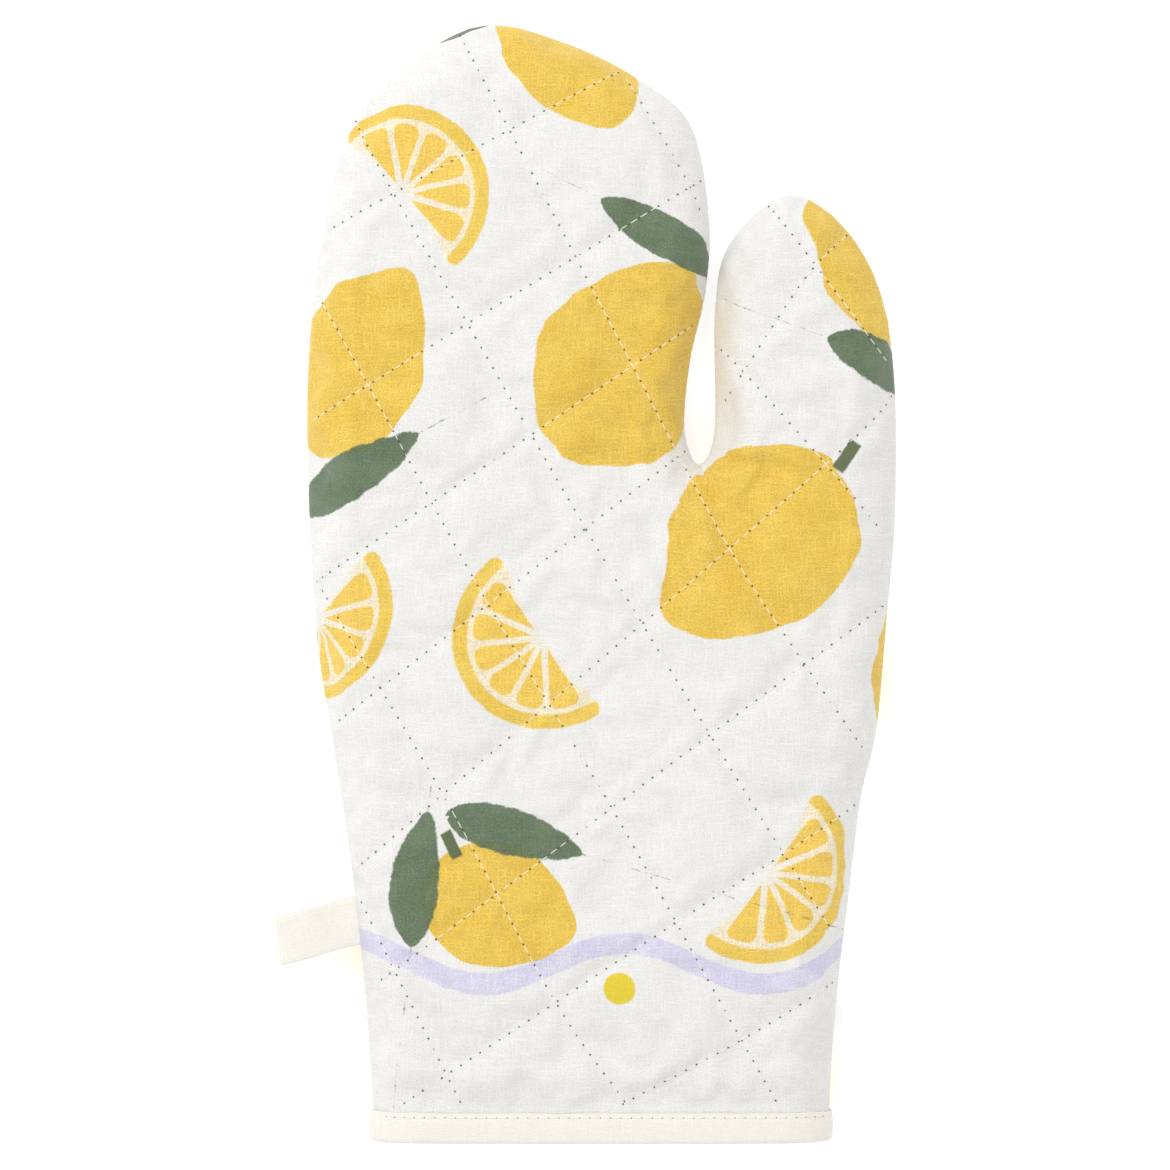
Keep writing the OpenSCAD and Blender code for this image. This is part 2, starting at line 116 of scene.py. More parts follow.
def plan_tree(points):
    """A search tree over places on the pattern."""
    tree = kdtree.KDTree(len(points))
    for i, (x, y) in enumerate(points):
        tree.insert((x, y, 0), i)
    tree.balance()
    return tree


seam_line = smooth_line(LEFT_SIDE + FINGERTIP + [SLOT_FOOT] + THUMB_TIP + RIGHT_SIDE, 0.25)
along_seam = np.gradient(seam_line, axis=0)
along_seam /= np.linalg.norm(along_seam, axis=1)[:, None]
inward = np.stack([along_seam[:, 1], -along_seam[:, 0]], 1)
seam_tree = plan_tree(seam_line)


def from_seam(plan):
    """For points on the pattern: distance in from the seam line, inward direction, nearest."""
    near = np.array([seam_tree.find((x, y, 0))[1] for x, y in plan])
    away = plan - seam_line[near]
    return (away * inward[near]).sum(1), inward[near], near


def cut_panel(spacing, low, inset=0.0, through=None):
    """A panel in the mitt's outline as (plan points, faces), finer across the curved rim.
    Points in through are kept as points of the panel."""
    def depth_of(k):
        return inset + RIM[FRONT] * (1 - math.cos(k * spacing / RIM[FRONT]))

    edge = even_steps(seam_line[seam_line[:, 1] >= low - 0.01], spacing)
    edge[0, 1] = edge[-1, 1] = low
    _, normal, _ = from_seam(edge)
    rings = [edge + normal * inset]
    while len(rings) < 3 or math.sin(len(rings) * spacing / RIM[FRONT]) < RIM_SHARE:
        ring = edge + normal * depth_of(len(rings))
        ring[0, 1] = ring[-1, 1] = low
        rings.append(ring)
    depth = depth_of(len(rings) - 1)
    count = len(edge)
    plan = [p for ring in rings for p in ring]
    faces = [(a, a + count, a + count + 1, a + 1) for r in range(len(rings) - 1)
             for a in range(r * count, (r + 1) * count - 1)]
    last = (len(rings) - 1) * count
    across = even_steps(np.array([rings[-1][-1], rings[-1][0]]), spacing)[1:-1]
    rows = np.arange(low + spacing * 0.8, 325, spacing * 0.866)
    fill = np.array([(x + (j % 2) * spacing / 2, y) for j, y in enumerate(rows)
                     for x in np.arange(-90, 90, spacing)])
    fill = fill[from_seam(fill)[0] > depth + spacing * 0.6]
    if through is not None:
        keep = through[from_seam(through)[0] > depth + spacing * 0.4]
        apart = np.array([((keep - p) ** 2).sum(1).min() for p in fill])
        fill = np.vstack([fill[apart > (0.55 * spacing) ** 2], keep])
    loop = list(rings[-1]) + list(across)
    points = [Vector(p) for p in loop] + [Vector(p) for p in fill]
    ring_edges = [(i, (i + 1) % len(loop)) for i in range(len(loop))]
    out, _, tris, source, _, _ = geometry.delaunay_2d_cdt(points, ring_edges, [], 1, 1e-5)
    place = []
    for v, came in zip(out, source):
        if came and came[0] < count:
            place.append(last + came[0])
        else:
            place.append(len(plan))
            plan.append(np.array(v))
    faces += [tuple(place[i] for i in t) for t in tris]
    plan = np.array(plan)
    turned = []
    for f in faces:
        a, b, c = plan[f[0]], plan[f[1]], plan[f[2]]
        left = (b[0] - a[0]) * (c[1] - a[1]) - (b[1] - a[1]) * (c[0] - a[0])
        turned.append(f if left > 0 else f[::-1])
    return plan, turned


def at_binding(y):
    return 1 - ease((y - BINDING_W) / BINDING_FADE)


def lay(plan, side, depth, crown=None):
    """Pattern points on the mitt, at a depth under its outer face, in millimetres."""
    far, normal, _ = from_seam(plan)
    y = plan[:, 1]
    depth = np.full(len(plan), depth)
    pull = 1 - np.clip(far, 0, RIM[side]) / RIM[side]
    pinch = at_binding(y)
    loft = BACK_LOFT
    if side == FRONT:
        loft = FRONT_LOFT * (1 - CUFF_LOWER * (1 - ease(y / CUFF_SLOPE)))
    depth = depth * (1 - CUFF_SQUEEZE * pinch)
    rise = (loft - CUFF_PINCH * pinch - depth) * np.sqrt(np.clip(1 - pull ** 2, 0, 1))
    if side == FRONT:
        rise = rise + (crown_height(far) if crown is None else crown)
    spot = plan + normal * (depth * pull)[:, None]
    return np.column_stack([spot, SEAM_Z + side * (PLY_GAP / 2 + rise)])


def crown_height(far):
    return CROWN * (1 - (1 - np.clip(far, 0, CROWN_REACH) / CROWN_REACH) ** 2)


def in_frame(x, y, z):
    """A place given in pattern millimetres, in the frame's metres."""
    return Vector(((x + PATTERN_X) * MM, (y + PATTERN_Y) * MM, z * MM))


def make_mesh(name, points, faces, material=None):
    """A piece in the mitt's frame, from points in pattern millimetres."""
    mesh = bpy.data.meshes.new(name)
    at = (np.asarray(points) + np.array([PATTERN_X, PATTERN_Y, 0])) * MM
    mesh.from_pydata([tuple(p) for p in at], [], [tuple(int(i) for i in f) for f in faces])
    mesh.polygons.foreach_set("use_smooth", [True] * len(mesh.polygons))
    if material:
        mesh.materials.append(material)
    mesh.update()
    obj = bpy.data.objects.new(name, mesh)
    bpy.context.scene.collection.objects.link(obj)
    return obj


def normals_of(points, faces):
    """The smooth normal at each point."""
    shape = make_mesh("shape", points, faces)
    normals = np.array([tuple(v.normal) for v in shape.data.vertices])
    bpy.data.objects.remove(shape)
    return normals


def corners_of(faces):
    """The point at each corner of each face, in one row."""
    return np.concatenate([np.array(f) for f in faces])


def set_layer(obj, name, values):
    """A UV layer, from one value a corner."""
    layer = obj.data.uv_layers.new(name=name)
    layer.data.foreach_set("uv", np.asarray(values, np.float32).ravel())


def operator(operation, reflected=False):
    def combine(self, *others):
        terms = (*others, self) if reflected else (self, *others)
        return self.finish.node("ShaderNodeMath", {"operation": operation},
                                dict(enumerate(terms)))
    return combine


class Val:
    """A socket of a finish, with arithmetic."""

    def __init__(self, finish, socket):
        self.finish, self.socket = finish, socket

    __add__ = __radd__ = operator("ADD")
    __mul__ = __rmul__ = operator("MULTIPLY")
    __sub__, __rsub__ = operator("SUBTRACT"), operator("SUBTRACT", reflected=True)
    __truediv__, __pow__ = operator("DIVIDE"), operator("POWER")
    at_most, at_least = operator("MINIMUM"), operator("MAXIMUM")
    size, whole, sine = operator("ABSOLUTE"), operator("ROUND"), operator("SINE")
    cosine, turn_over = operator("COSINE"), operator("ARCTAN2")
    exponent, square_root = operator("EXPONENT"), operator("SQRT")

    def root(self):
        return self.at_least(0).square_root()

    def ramp(self, low, high):
        return self.finish.node("ShaderNodeMapRange",
                                {"interpolation_type": "SMOOTHSTEP"},
                                {"Value": self, "From Min": low, "From Max": high})

    def above(self, edge, soft):
        """0 below the edge and 1 above it, over a band twice soft."""
        return self.ramp(edge - soft, edge + soft)


class Finish:
    """A material with its nodes written as expressions."""

    def __init__(self, name, **constants):
        self.material = bpy.data.materials.new(name)
        self.material.use_nodes = True
        self.tree = self.material.node_tree
        self.tree.nodes.clear()
        self.shader = self.tree.nodes.new("ShaderNodeBsdfPrincipled")
        output = self.tree.nodes.new("ShaderNodeOutputMaterial")
        self.tree.links.new(self.shader.outputs[0], output.inputs[0])
        for socket, value in constants.items():
            self.shader.inputs[socket.replace("_", " ")].default_value = value

    def node(self, kind, settings=(), inputs=(), out=0):
        made = self.tree.nodes.new(kind)
        for key, value in dict(settings).items():
            setattr(made, key, value)
        for key, value in dict(inputs).items():
            self.feed(made.inputs[key], value)
        return Val(self, made.outputs[out])

    def feed(self, socket, value):
        if isinstance(value, Val):
            self.tree.links.new(value.socket, socket)
        elif socket.type == "VECTOR":
            socket.default_value = value[:3]
        else:
            socket.default_value = value

    def uv(self, layer):
        return self.node("ShaderNodeUVMap", {"uv_map": layer})

    def place(self):
        return self.node("ShaderNodeTexCoord", out=3)

    def split(self, vector):
        """The first two parts of a vector, which are all that a UV layer has."""
        made = self.node("ShaderNodeSeparateXYZ", (), {0: vector})
        return [Val(self, out) for out in made.socket.node.outputs[:2]]

    def vector(self, x, y, z=0.0):
        return self.node("ShaderNodeCombineXYZ", (), {0: x, 1: y, 2: z})

    def noise(self, vector, scale, detail=2.0, rough=0.5):
        return self.node("ShaderNodeTexNoise", {"noise_dimensions": "3D"},
                         {"Vector": vector, "Scale": scale, "Detail": detail,
                          "Roughness": rough})

    def mix(self, share, a, b):
        return self.node("ShaderNodeMix", {"data_type": "RGBA"}, {0: share, 6: a, 7: b}, 2)

    def shade(self, colour, amount):
        """The colour, made lighter or darker by a value around 1."""
        return self.node("ShaderNodeVectorMath", {"operation": "MULTIPLY"},
                         {0: colour, 1: self.vector(amount, amount, amount)})

    def give(self, colour, rough, height=None, distance=0.0003, strength=1.0):
        self.feed(self.shader.inputs["Base Color"], colour)
        self.feed(self.shader.inputs["Roughness"], rough)
        if height is not None:
            bump = self.node("ShaderNodeBump", (), {"Height": height, "Distance": distance,
                                                    "Strength": strength})
            self.feed(self.shader.inputs["Normal"], bump)
        return self.material


def patches(finish, pattern, low, high, first, second):
    """Two shades, in soft patches where the pattern passes from low to high."""
    return finish.mix(pattern.ramp(low, high), srgb(*first), srgb(*second))


def srgb(r, g, b):
    def line(c):
        c = c / 255
        return c / 12.92 if c <= 0.04045 else ((c + 0.055) / 1.055) ** 2.4
    return (line(r), line(g), line(b), 1.0)


def weave(finish, cloth, period=0.52):
    """Height of a plain weave with slubby yarns, and a mottling of the yarns' colour.
    cloth is a UV layer in millimetres."""
    u, v = finish.split(cloth)
    wander = finish.noise(cloth, 0.35, 1.0)
    warp = (u * (2 * math.pi / period) + wander * 2.5).sine()
    weft = (v * (2 * math.pi / period) + wander * 2.5).sine()
    threads = warp * weft * 0.5 + 0.5
    long_u = finish.noise(finish.vector(u * 0.16, v * 1.9), 1.0, 2.0)
    long_v = finish.noise(finish.vector(u * 1.9, v * 0.16, 7.0), 1.0, 2.0)
    slub = long_u.at_least(long_v)
    speck = finish.noise(cloth, 2.3, 2.0, 0.7)
    height = threads * 0.5 + slub * 0.9 + speck * 0.5
    tone = (slub - 0.58) * 0.3 + (speck - 0.5) * 0.55 + (threads - 0.5) * 0.1
    return height, tone


def unrolled(plan, side, depth=0.0):
    """Where each pattern point lies on the flat cut, which runs on over the curved rim."""
    far, normal, _ = from_seam(plan)
    pull = 1 - np.clip(far, 0, RIM[side]) / RIM[side]
    over_rim = (RIM[side] - depth) * (np.arcsin(pull) - pull) - depth * pull
    return plan - normal * over_rim[:, None]


lining_cloth = Finish("lining_cloth", Specular_IOR_Level=0.25, Sheen_Weight=0.25,
                      Sheen_Roughness=0.6)
cloth_map = lining_cloth.uv("cloth")
thread_height, thread_tone = weave(lining_cloth, cloth_map, 0.6)
lining_material = lining_cloth.give(
    lining_cloth.shade(srgb(240, 236, 226), thread_tone + 1.0),
    thread_tone * 0.4 + 0.86, thread_height, 0.00016, 0.7)

PLIES_START = BINDING_T + PLY_GAP
THUMB_CUT, SLOT_LEFT, CUT_SLANT = 194.0, 31.8, 0.4
TURN = {"hand": (200.0, 245.0), "thumb": (195.5, 226.0)}
BODIES = {"hand": ("palm", "fingers"), "thumb": ("thumb",)}


def is_thumb(x, y):
    """Whether a place on the pattern is the thumb's, on that side of the slot."""
    divider = np.minimum(SLOT_LEFT, SLOT_FOOT[0] + CUT_SLANT * (y - THUMB_CUT))
    return (y > THUMB_CUT) & (x > divider)


def cut_out(name, points, faces, material):
    """A piece made of some faces of a larger mesh, and which of its points that keeps."""
    kept = np.unique(corners_of(faces))
    renumber = {int(v): i for i, v in enumerate(kept)}
    return make_mesh(name, points[kept], [[renumber[int(v)] for v in f] for f in faces],
                     material), kept


def two_pieces(name, points, faces, plan, material, layers=()):
    """The hand's part and the thumb's part, cut apart along the line between them. Both share
    the same points and normals along that line."""
    centre = np.array([plan[list(f)].mean(0) for f in faces])
    on_thumb = is_thumb(centre[:, 0], centre[:, 1])
    normals = normals_of(points, faces)
    start = np.concatenate([[0], np.cumsum([len(f) for f in faces])])
    parts = {}
    for part, chosen in (("hand", ~on_thumb), ("thumb", on_thumb)):
        numbers = np.nonzero(chosen)[0]
        piece, kept = cut_out(f"{name}_{part}", points, [faces[i] for i in numbers], material)
        corners = np.concatenate([np.arange(start[i], start[i + 1]) for i in numbers])
        for layer, values in layers:
            set_layer(piece, layer, values[corners])
        piece.data.normals_split_custom_set_from_vertices([tuple(n) for n in normals[kept]])
        parts[part] = piece
    return parts


def fix_on(piece, part, ply):
    """The piece stands for a ply, whose own parts are hidden, and its place is baked into its
    points."""
    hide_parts(*[f"{body}_{ply}" for body in BODIES[part]])
    start, end = [(0, (y + PATTERN_Y) * MM, SEAM_Z * MM) for y in TURN[part]]
    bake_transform(piece)
    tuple(start)
    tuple(end)


def cut_size(piece):
    """The flat cut's width and length, and its area, in metres, from its cloth coordinates."""
    uv = np.zeros(len(piece.data.loops) * 2, np.float32)
    piece.data.uv_layers["cloth"].data.foreach_get("uv", uv)
    uv = uv.reshape(-1, 2).astype(float) * MM
    area = 0.0
    for face in piece.data.polygons:
        corner = uv[face.loop_start:face.loop_start + face.loop_total]
        after = np.roll(corner, -1, axis=0)
        area += abs((corner[:, 0] * after[:, 1] - corner[:, 1] * after[:, 0]).sum()) / 2
    width, length = uv.max(0) - uv.min(0)
    return (float(width), float(length)), float(area)


LINING_DEPTH = SHELL_T + BATTING_T + 2 * PLY_GAP
LINING_STEP, LINING_INSET = 3.0, 0.4
plan, faces = cut_panel(LINING_STEP, PLIES_START, LINING_INSET)
for side, word in SIDES:
    spots = lay(plan, side, LINING_DEPTH + LINING_T)
    facing = [f[::-1] for f in faces] if side == FRONT else faces
    cut = unrolled(plan, side, LINING_DEPTH)[corners_of(facing)]
    linings = two_pieces(f"{word}_lining", spots, facing, plan, lining_material,
                         [("cloth", cut)])
    for part, piece in linings.items():
        flat, area = cut_size(piece)
        thick = piece.modifiers.new("cloth", "SOLIDIFY")
        thick.thickness, thick.offset = LINING_T * MM, -1.0
        with bpy.context.temp_override(object=piece, active_object=piece):
            bpy.ops.object.modifier_apply(modifier="cloth")
        fix_on(piece, part, f"{word}_lining")


# ---------------------------------------------------------------- outer cloth
# The front and back are printed slubby cotton, quilted to the batting in diamonds, so the
# cloth dips at each line of stitches and puckers a little. The print is a loose painting of
# whole lemons, cut halves, leaves, a dot and a wavy line along the cuff.
RISING_RIGHT = [
    [(-85, 257), (25, 317)], [(-85, 205), (35, 279)], [(-85, 158), (31, 237)],
    [(-85, 113), (23, 197)], [(-80, 70), (64, 194), (85, 218)],
    [(-72, 40), (31, 117), (58, 137), (84, 156)],
    [(-60, 9), (-44, 20), (22, 64), (52, 83), (76, 99)], [(-12, 0), (7, 12), (40, 30), (68, 47)],
    [(33, 208), (41, 221), (59, 248), (74, 263)]]
RISING_LEFT = [
    [(31, 258), (25, 274), (5, 308), (0, 317)],
    [(84, 100), (58, 137), (36, 171), (9, 222), (-26, 289), (-40, 316)],
    [(76, 45), (52, 83), (31, 117), (-4, 175), (-59, 271), (-72, 296)],
    [(57, 0), (40, 30), (2, 98), (-32, 154), (-66, 216), (-80, 241)],
    [(14, 0), (7, 12), (-13, 41), (-45, 100), (-82, 162)], [(-34, 0), (-59, 50), (-76, 84)],
    [(86, 168), (64, 194), (40, 221), (33, 228)], [(86, 218), (76, 231), (51, 264), (46, 270)]]
QUILT_START, QUILT_EDGE = BINDING_W + 1.5, 2.2    # no stitch nearer the binding and the seam
LINE_STEP, SHORTEST_RUN, RUN_APART = 0.8, 8, 700.0


def quilt_runs():
    """Each line of quilting as the stretches of it that lie on the mitt."""
    runs = []
    for points in RISING_RIGHT + RISING_LEFT:
        line = smooth_line(points, LINE_STEP)
        on = (from_seam(line)[0] > QUILT_EDGE) & (line[:, 1] > QUILT_START)
        start = None
        for i in range(len(line) + 1):
            inside = i < len(line) and on[i]
            if inside and start is None:
                start = i
            if not inside and start is not None:
                if i - start > SHORTEST_RUN:
                    runs.append(line[start:i])
                start = None
    return runs


quilting = quilt_runs()
quilt_points = np.vstack(quilting)
quilt_along = np.concatenate([np.arange(len(run)) * LINE_STEP + RUN_APART * k
                              for k, run in enumerate(quilting)])
quilt_tree = plan_tree(quilt_points)

LEMONS = [  # middle, turn of its tip in degrees, half length, half width, tip and its breadth
    ((-8, 317), -62, 26, 21, 0.14, 5), ((-72, 221), 58, 27, 21.5, 0.2, 9),
    ((9, 222), 50, 32, 26.5, 0.0, 9), ((86, 262), -85, 32, 27, 0.0, 9),
    ((46, 173), 223, 29, 26.5, 0.24, 7), ((-30, 68.5), -20, 21.5, 18, 0.1, 6),
    ((97, 135), 80, 22, 17, 0.0, 9)]
HALVES = [  # middle of the cut side, turn of its round side, depth, half length
    ((-59, 269), 41, 28.5, 26.5), ((-85, 152), -47, 25.5, 27.5),
    ((-13.8, 146.3), 214, 29.5, 27.5), ((44.5, 79.5), -37, 28.5, 27.5)]
LEAVES = [  # middle, turn of its tip, half length, half width, bow
    ((-73, 191.5), 28, 24, 7, 0.2), ((22, 258), -27, 25, 6, 0.15), ((84, 223), -20, 21, 7, 0.1),
    ((-51.6, 76), 83, 19.5, 6.9, -0.15), ((-25.1, 88.6), -16, 20.5, 6.8, -0.12),
    ((-40, 322), 20, 9, 3, 0.0)]
STEMS = [((70, 196.3), 56, 5, 1.9), ((-42.5, 85.8), -64, 4.2, 1.7)]


def motif_layer(cloth, face_of, motifs, on_thumb):
    """Each face takes its nearest motif, and its corners their place in it: along and across
    as shares of the motif's half length and half width, and the motif's number."""
    centre = np.array([m[0] for m in motifs], float)
    turn = np.radians([m[1] for m in motifs])
    size = np.array([m[2:4] for m in motifs], float)
    middle = np.zeros((face_of.max() + 1, 2))
    np.add.at(middle, face_of, cloth)
    middle /= np.bincount(face_of)[:, None]
    distance = ((middle[:, None, :] - centre[None]) ** 2).sum(2)
    # the slot is cut between the hand and the thumb, so a shape on the hand ends there
    of_hand = (centre[:, 0] < SLOT_FOOT[0]) & (centre[:, 1] > THUMB_CUT)
    distance[np.ix_(on_thumb, of_hand)] = np.inf
    nearest = distance.argmin(1)[face_of]
    away = cloth - centre[nearest]
    c, s = np.cos(turn[nearest]), np.sin(turn[nearest])
    along = (away[:, 0] * c + away[:, 1] * s) / size[nearest, 0]
    across = (-away[:, 0] * s + away[:, 1] * c) / size[nearest, 1]
    return np.column_stack([along, across]), nearest


SIM_STEP, SIM_FRAMES, MOST_SWELL, STITCH_SINK = 3.0, 20, 1.7, 0.5


def relief(plan, side, simulated=False):
    """How far the cloth stands off its padded shape: domes between the quilting lines,
    small puckers along them and along the seam, and slow unevenness."""
    far, _, near = from_seam(plan)
    found = [quilt_tree.find((x, y, 0)) for x, y in plan]
    off = np.array([f[2] for f in found])
    along = quilt_along[[f[1] for f in found]]

    def uneven(seed, *places):
        return np.array([noise.noise((*at, seed)) for at in zip(*places)])

    x, y = plan.T
    crease = uneven(3.0 * side, along / 5.5, off / 9.0)
    crease *= 0.34 * np.exp(-off / 6.0) * (1 - np.exp(-off / 1.2))
    edge = uneven(20.0 + side, near * 0.25 / 5.0, far / 14.0)
    edge *= 0.55 * np.exp(-far / 9.0) * ease(far / 0.8) * ease((y - BINDING_W) / 8)
    slow = uneven(40.0 + side, x / 34, y / 34) * 0.5
    fold = uneven(60.0 + side, x / 9, y / 16) * 0.13
    dome = 1.15 * (1 - np.exp(-(off / 7.5) ** 1.2)) - 0.55
    if simulated:
        dome = -STITCH_SINK * np.exp(-(off / 2.2) ** 2)
    held = ease(far / 7.0) * ease((y - BINDING_W + 1) / 10)
    return (dome + slow + fold + crease) * held + edge


def crotch_folds(plan):
    """The creases that the corner of the slot pulls into the cloth."""
    away = plan - np.array(SLOT_FOOT) - np.array([0, 4.0])
    far = np.linalg.norm(away, axis=1)
    angle = np.degrees(np.arctan2(away[:, 1], away[:, 0]))
    total = np.zeros(len(plan))
    for turn, width, reach, height in (
            (0, 7, 30, 1.1), (-14, 6.5, 34, -1.5), (-30, 8, 28, 0.7), (-57, 7, 34, 1.0),
            (-71, 6, 40, -1.5), (-87, 8, 28, 0.7), (-168, 8, 30, -1.2), (-150, 8, 26, 0.6),
            (-190, 8, 20, 0.5)):
        bend = (angle - turn + 180) % 360 - 180
        total += height * np.exp(-(bend / width) ** 2 - ((far - 10) / reach * 2) ** 2)
    return total


def smoothed(values, faces, rounds):
    """The values averaged with their neighbours', which rounds off a ridge."""
    pairs = set()
    for f in faces:
        for a, b in zip(f, f[1:] + f[:1]):
            pairs.add((min(a, b), max(a, b)))
    a, b = np.array(sorted(pairs)).T
    share = np.bincount(a, minlength=len(values)) + np.bincount(b, minlength=len(values))
    for _ in range(rounds):
        total = np.bincount(a, values[b], len(values)) + np.bincount(b, values[a], len(values))
        values = 0.5 * values + 0.5 * total / share
    return values


# The print. Every shape is painted by hand, so its edge wavers and its colour pools. Lengths
# are in millimetres of cloth, and in shares of a motif's own size inside a motif.
printed = Finish("printed_cloth", Specular_IOR_Level=0.22, Sheen_Weight=0.18,
                 Sheen_Roughness=0.55)
cloth_map = printed.uv("cloth")
u, v = printed.split(cloth_map)
thread_height, thread_tone = weave(printed, cloth_map)
waver = (printed.noise(cloth_map, 0.22, 3.0, 0.6) - 0.5) * 2.2
ragged = (printed.noise(cloth_map, 1.3, 2.0, 0.6) - 0.5) * 1.0
edge_shift = waver + ragged
pool = printed.noise(cloth_map, 0.09, 3.0, 0.6)
grain = printed.noise(cloth_map, 2.4, 2.0, 0.6)

colour = patches(printed, pool, 0.3, 0.7, (241, 240, 237), (238, 237, 233))

WAVE_LENGTH, WAVE_CREST, WAVE_HEIGHT, WAVE_MIDDLE = 79, 6.5, 5.8, 52.0
wave_turn = u * (2 * math.pi / WAVE_LENGTH) - 2 * math.pi * WAVE_CREST / WAVE_LENGTH
wave_y = wave_turn.cosine() * WAVE_HEIGHT + WAVE_MIDDLE
wave_off = (v - wave_y + edge_shift * 0.5).size()
wave_mask = 1.0 - wave_off.above(3.1, 0.35)
wave_paint = patches(printed, printed.noise(cloth_map, 0.12, 2.0, 0.6), 0.35, 0.68,
                     (224, 222, 240), (215, 211, 236))
colour = printed.mix(wave_mask * 0.95, colour, wave_paint)

DOT_X, DOT_Y, DOT_R = 5.3, 44.7, 4.5
dot_x, dot_y = u - DOT_X, v - DOT_Y
dot_mask = 1.0 - ((dot_x * dot_x + dot_y * dot_y).root() + edge_shift * 0.4).above(DOT_R, 0.3)
colour = printed.mix(dot_mask, colour, srgb(234, 211, 66))

leaf_u, leaf_v = printed.split(printed.uv("leaf"))
leaf_width = ((1.0 - leaf_u * leaf_u).at_least(0) ** 0.66) * (1.0 - leaf_u * 0.2)
leaf_edge = leaf_width - leaf_v.size() + edge_shift * 0.13 - 0.02
leaf_mask = leaf_edge.above(0.0, 0.05)
leaf_paint = patches(printed, pool, 0.35, 0.65, (84, 107, 76), (98, 119, 88))
leaf_paint = printed.mix(grain.ramp(0.48, 0.7) * 0.6, leaf_paint, srgb(146, 160, 134))

# the skin, its pith and the wedges of flesh, in millimetres of a half as big as most
HALF_MM, WEDGES = 27.0, 6.0
half_u, half_v = printed.split(printed.uv("half"))
half_r = (half_u * half_u + half_v * half_v).root()
half_body = 1.0 - (half_r + edge_shift * 0.02).above(0.985, 0.014)
hollow = 0.10 - half_v * half_v * 0.11
cut_side = (half_u - hollow + edge_shift * 0.05).above(0.0, 0.02)
core_u = half_u - 0.1
core_r = (core_u * core_u + half_v * half_v).root()
angle = half_v.turn_over(core_u)
wedge_turn = angle * (WEDGES / math.pi) + edge_shift * 0.05
off_wall = (wedge_turn - wedge_turn.whole()).size() * (math.pi / WEDGES)
from_wall = off_wall * core_r * HALF_MM - 0.75
from_pith = (0.79 - half_r) * HALF_MM + edge_shift * 0.35
from_core = core_r * HALF_MM - 3.2
corner_a = (1.0 - from_wall.at_most(from_core) / 2.6).at_least(0)
corner_b = (1.0 - from_pith / 3.2).at_least(0)
flesh = 1.0 - (corner_a * corner_a + corner_b * corner_b).root().above(0.97, 0.08)
flesh = flesh * (core_u + edge_shift * 0.01).above(0.02, 0.015)
end_v = (half_v.size() - 0.82).at_least(0) * 6.0
end_u = (hollow + 0.13 - half_u).at_least(0) * 7.0
half_body = half_body * (1.0 - (end_v * end_v + end_u * end_u).root().above(1.0, 0.08))
pith_band = 1.0 - (half_r + edge_shift * 0.014).above(0.84, 0.014)
flesh_paint = patches(printed, grain, 0.35, 0.7, (243, 202, 80), (248, 211, 100))
rind_paint = patches(printed, pool, 0.35, 0.65, (242, 208, 92), (238, 200, 78))
half_paint = printed.mix(pith_band, rind_paint, srgb(247, 234, 204))
half_paint = printed.mix(flesh, half_paint, flesh_paint)
# the pith at the core has hardly any ink, and runs out into the bare cloth
fade = (1.0 - half_u.ramp(0.05, 0.42)) * (1.0 - flesh) * (1.0 - half_r.above(0.62, 0.16))
half_mask = half_body * cut_side * (1.0 - fade * 0.8)
colour = printed.mix(half_mask * (grain * 0.1 + 0.92).at_most(1.0), colour, half_paint)

lemon_u, lemon_v = printed.split(printed.uv("lemon"))
tip, breadth = printed.split(printed.uv("tip"))
lemon_turn = lemon_v.turn_over(lemon_u)
bulge = (lemon_turn * lemon_turn * breadth * -1.0).exponent() * tip
lump = (printed.noise(cloth_map, 0.05, 1.0) - 0.5) * 0.3
lemon_r = (lemon_u * lemon_u + lemon_v * lemon_v).root()
lemon_mask = 1.0 - (lemon_r - bulge + lump + edge_shift * 0.022).above(0.985, 0.012)
lemon_paint = patches(printed, pool, 0.32, 0.7, (235, 195, 72), (240, 204, 89))
lemon_paint = printed.mix(grain.ramp(0.5, 0.8) * 0.4, lemon_paint, srgb(249, 222, 130))
colour = printed.mix(lemon_mask * (grain * 0.1 + 0.93).at_most(1.0), colour, lemon_paint)

colour = printed.mix(leaf_mask * (grain * 0.12 + 0.9).at_most(1.0), colour, leaf_paint)

stem_u, stem_v = printed.split(printed.uv("stem"))
stem_mask = (1.0 - (stem_u.size() + edge_shift * 0.05).above(0.95, 0.08)) * (
    1.0 - (stem_v.size() + edge_shift * 0.15).above(0.95, 0.15))
colour = printed.mix(stem_mask, colour, srgb(106, 117, 84))

ink = leaf_mask.at_least(half_mask).at_least(lemon_mask).at_least(wave_mask * 0.5)
colour = printed.shade(colour, thread_tone * (ink * 1.1 + 1.15) + 1.0)
print_material = printed.give(colour, thread_tone * 0.5 + 0.88 - ink * 0.05,
                              thread_height, 0.00016, 0.75)


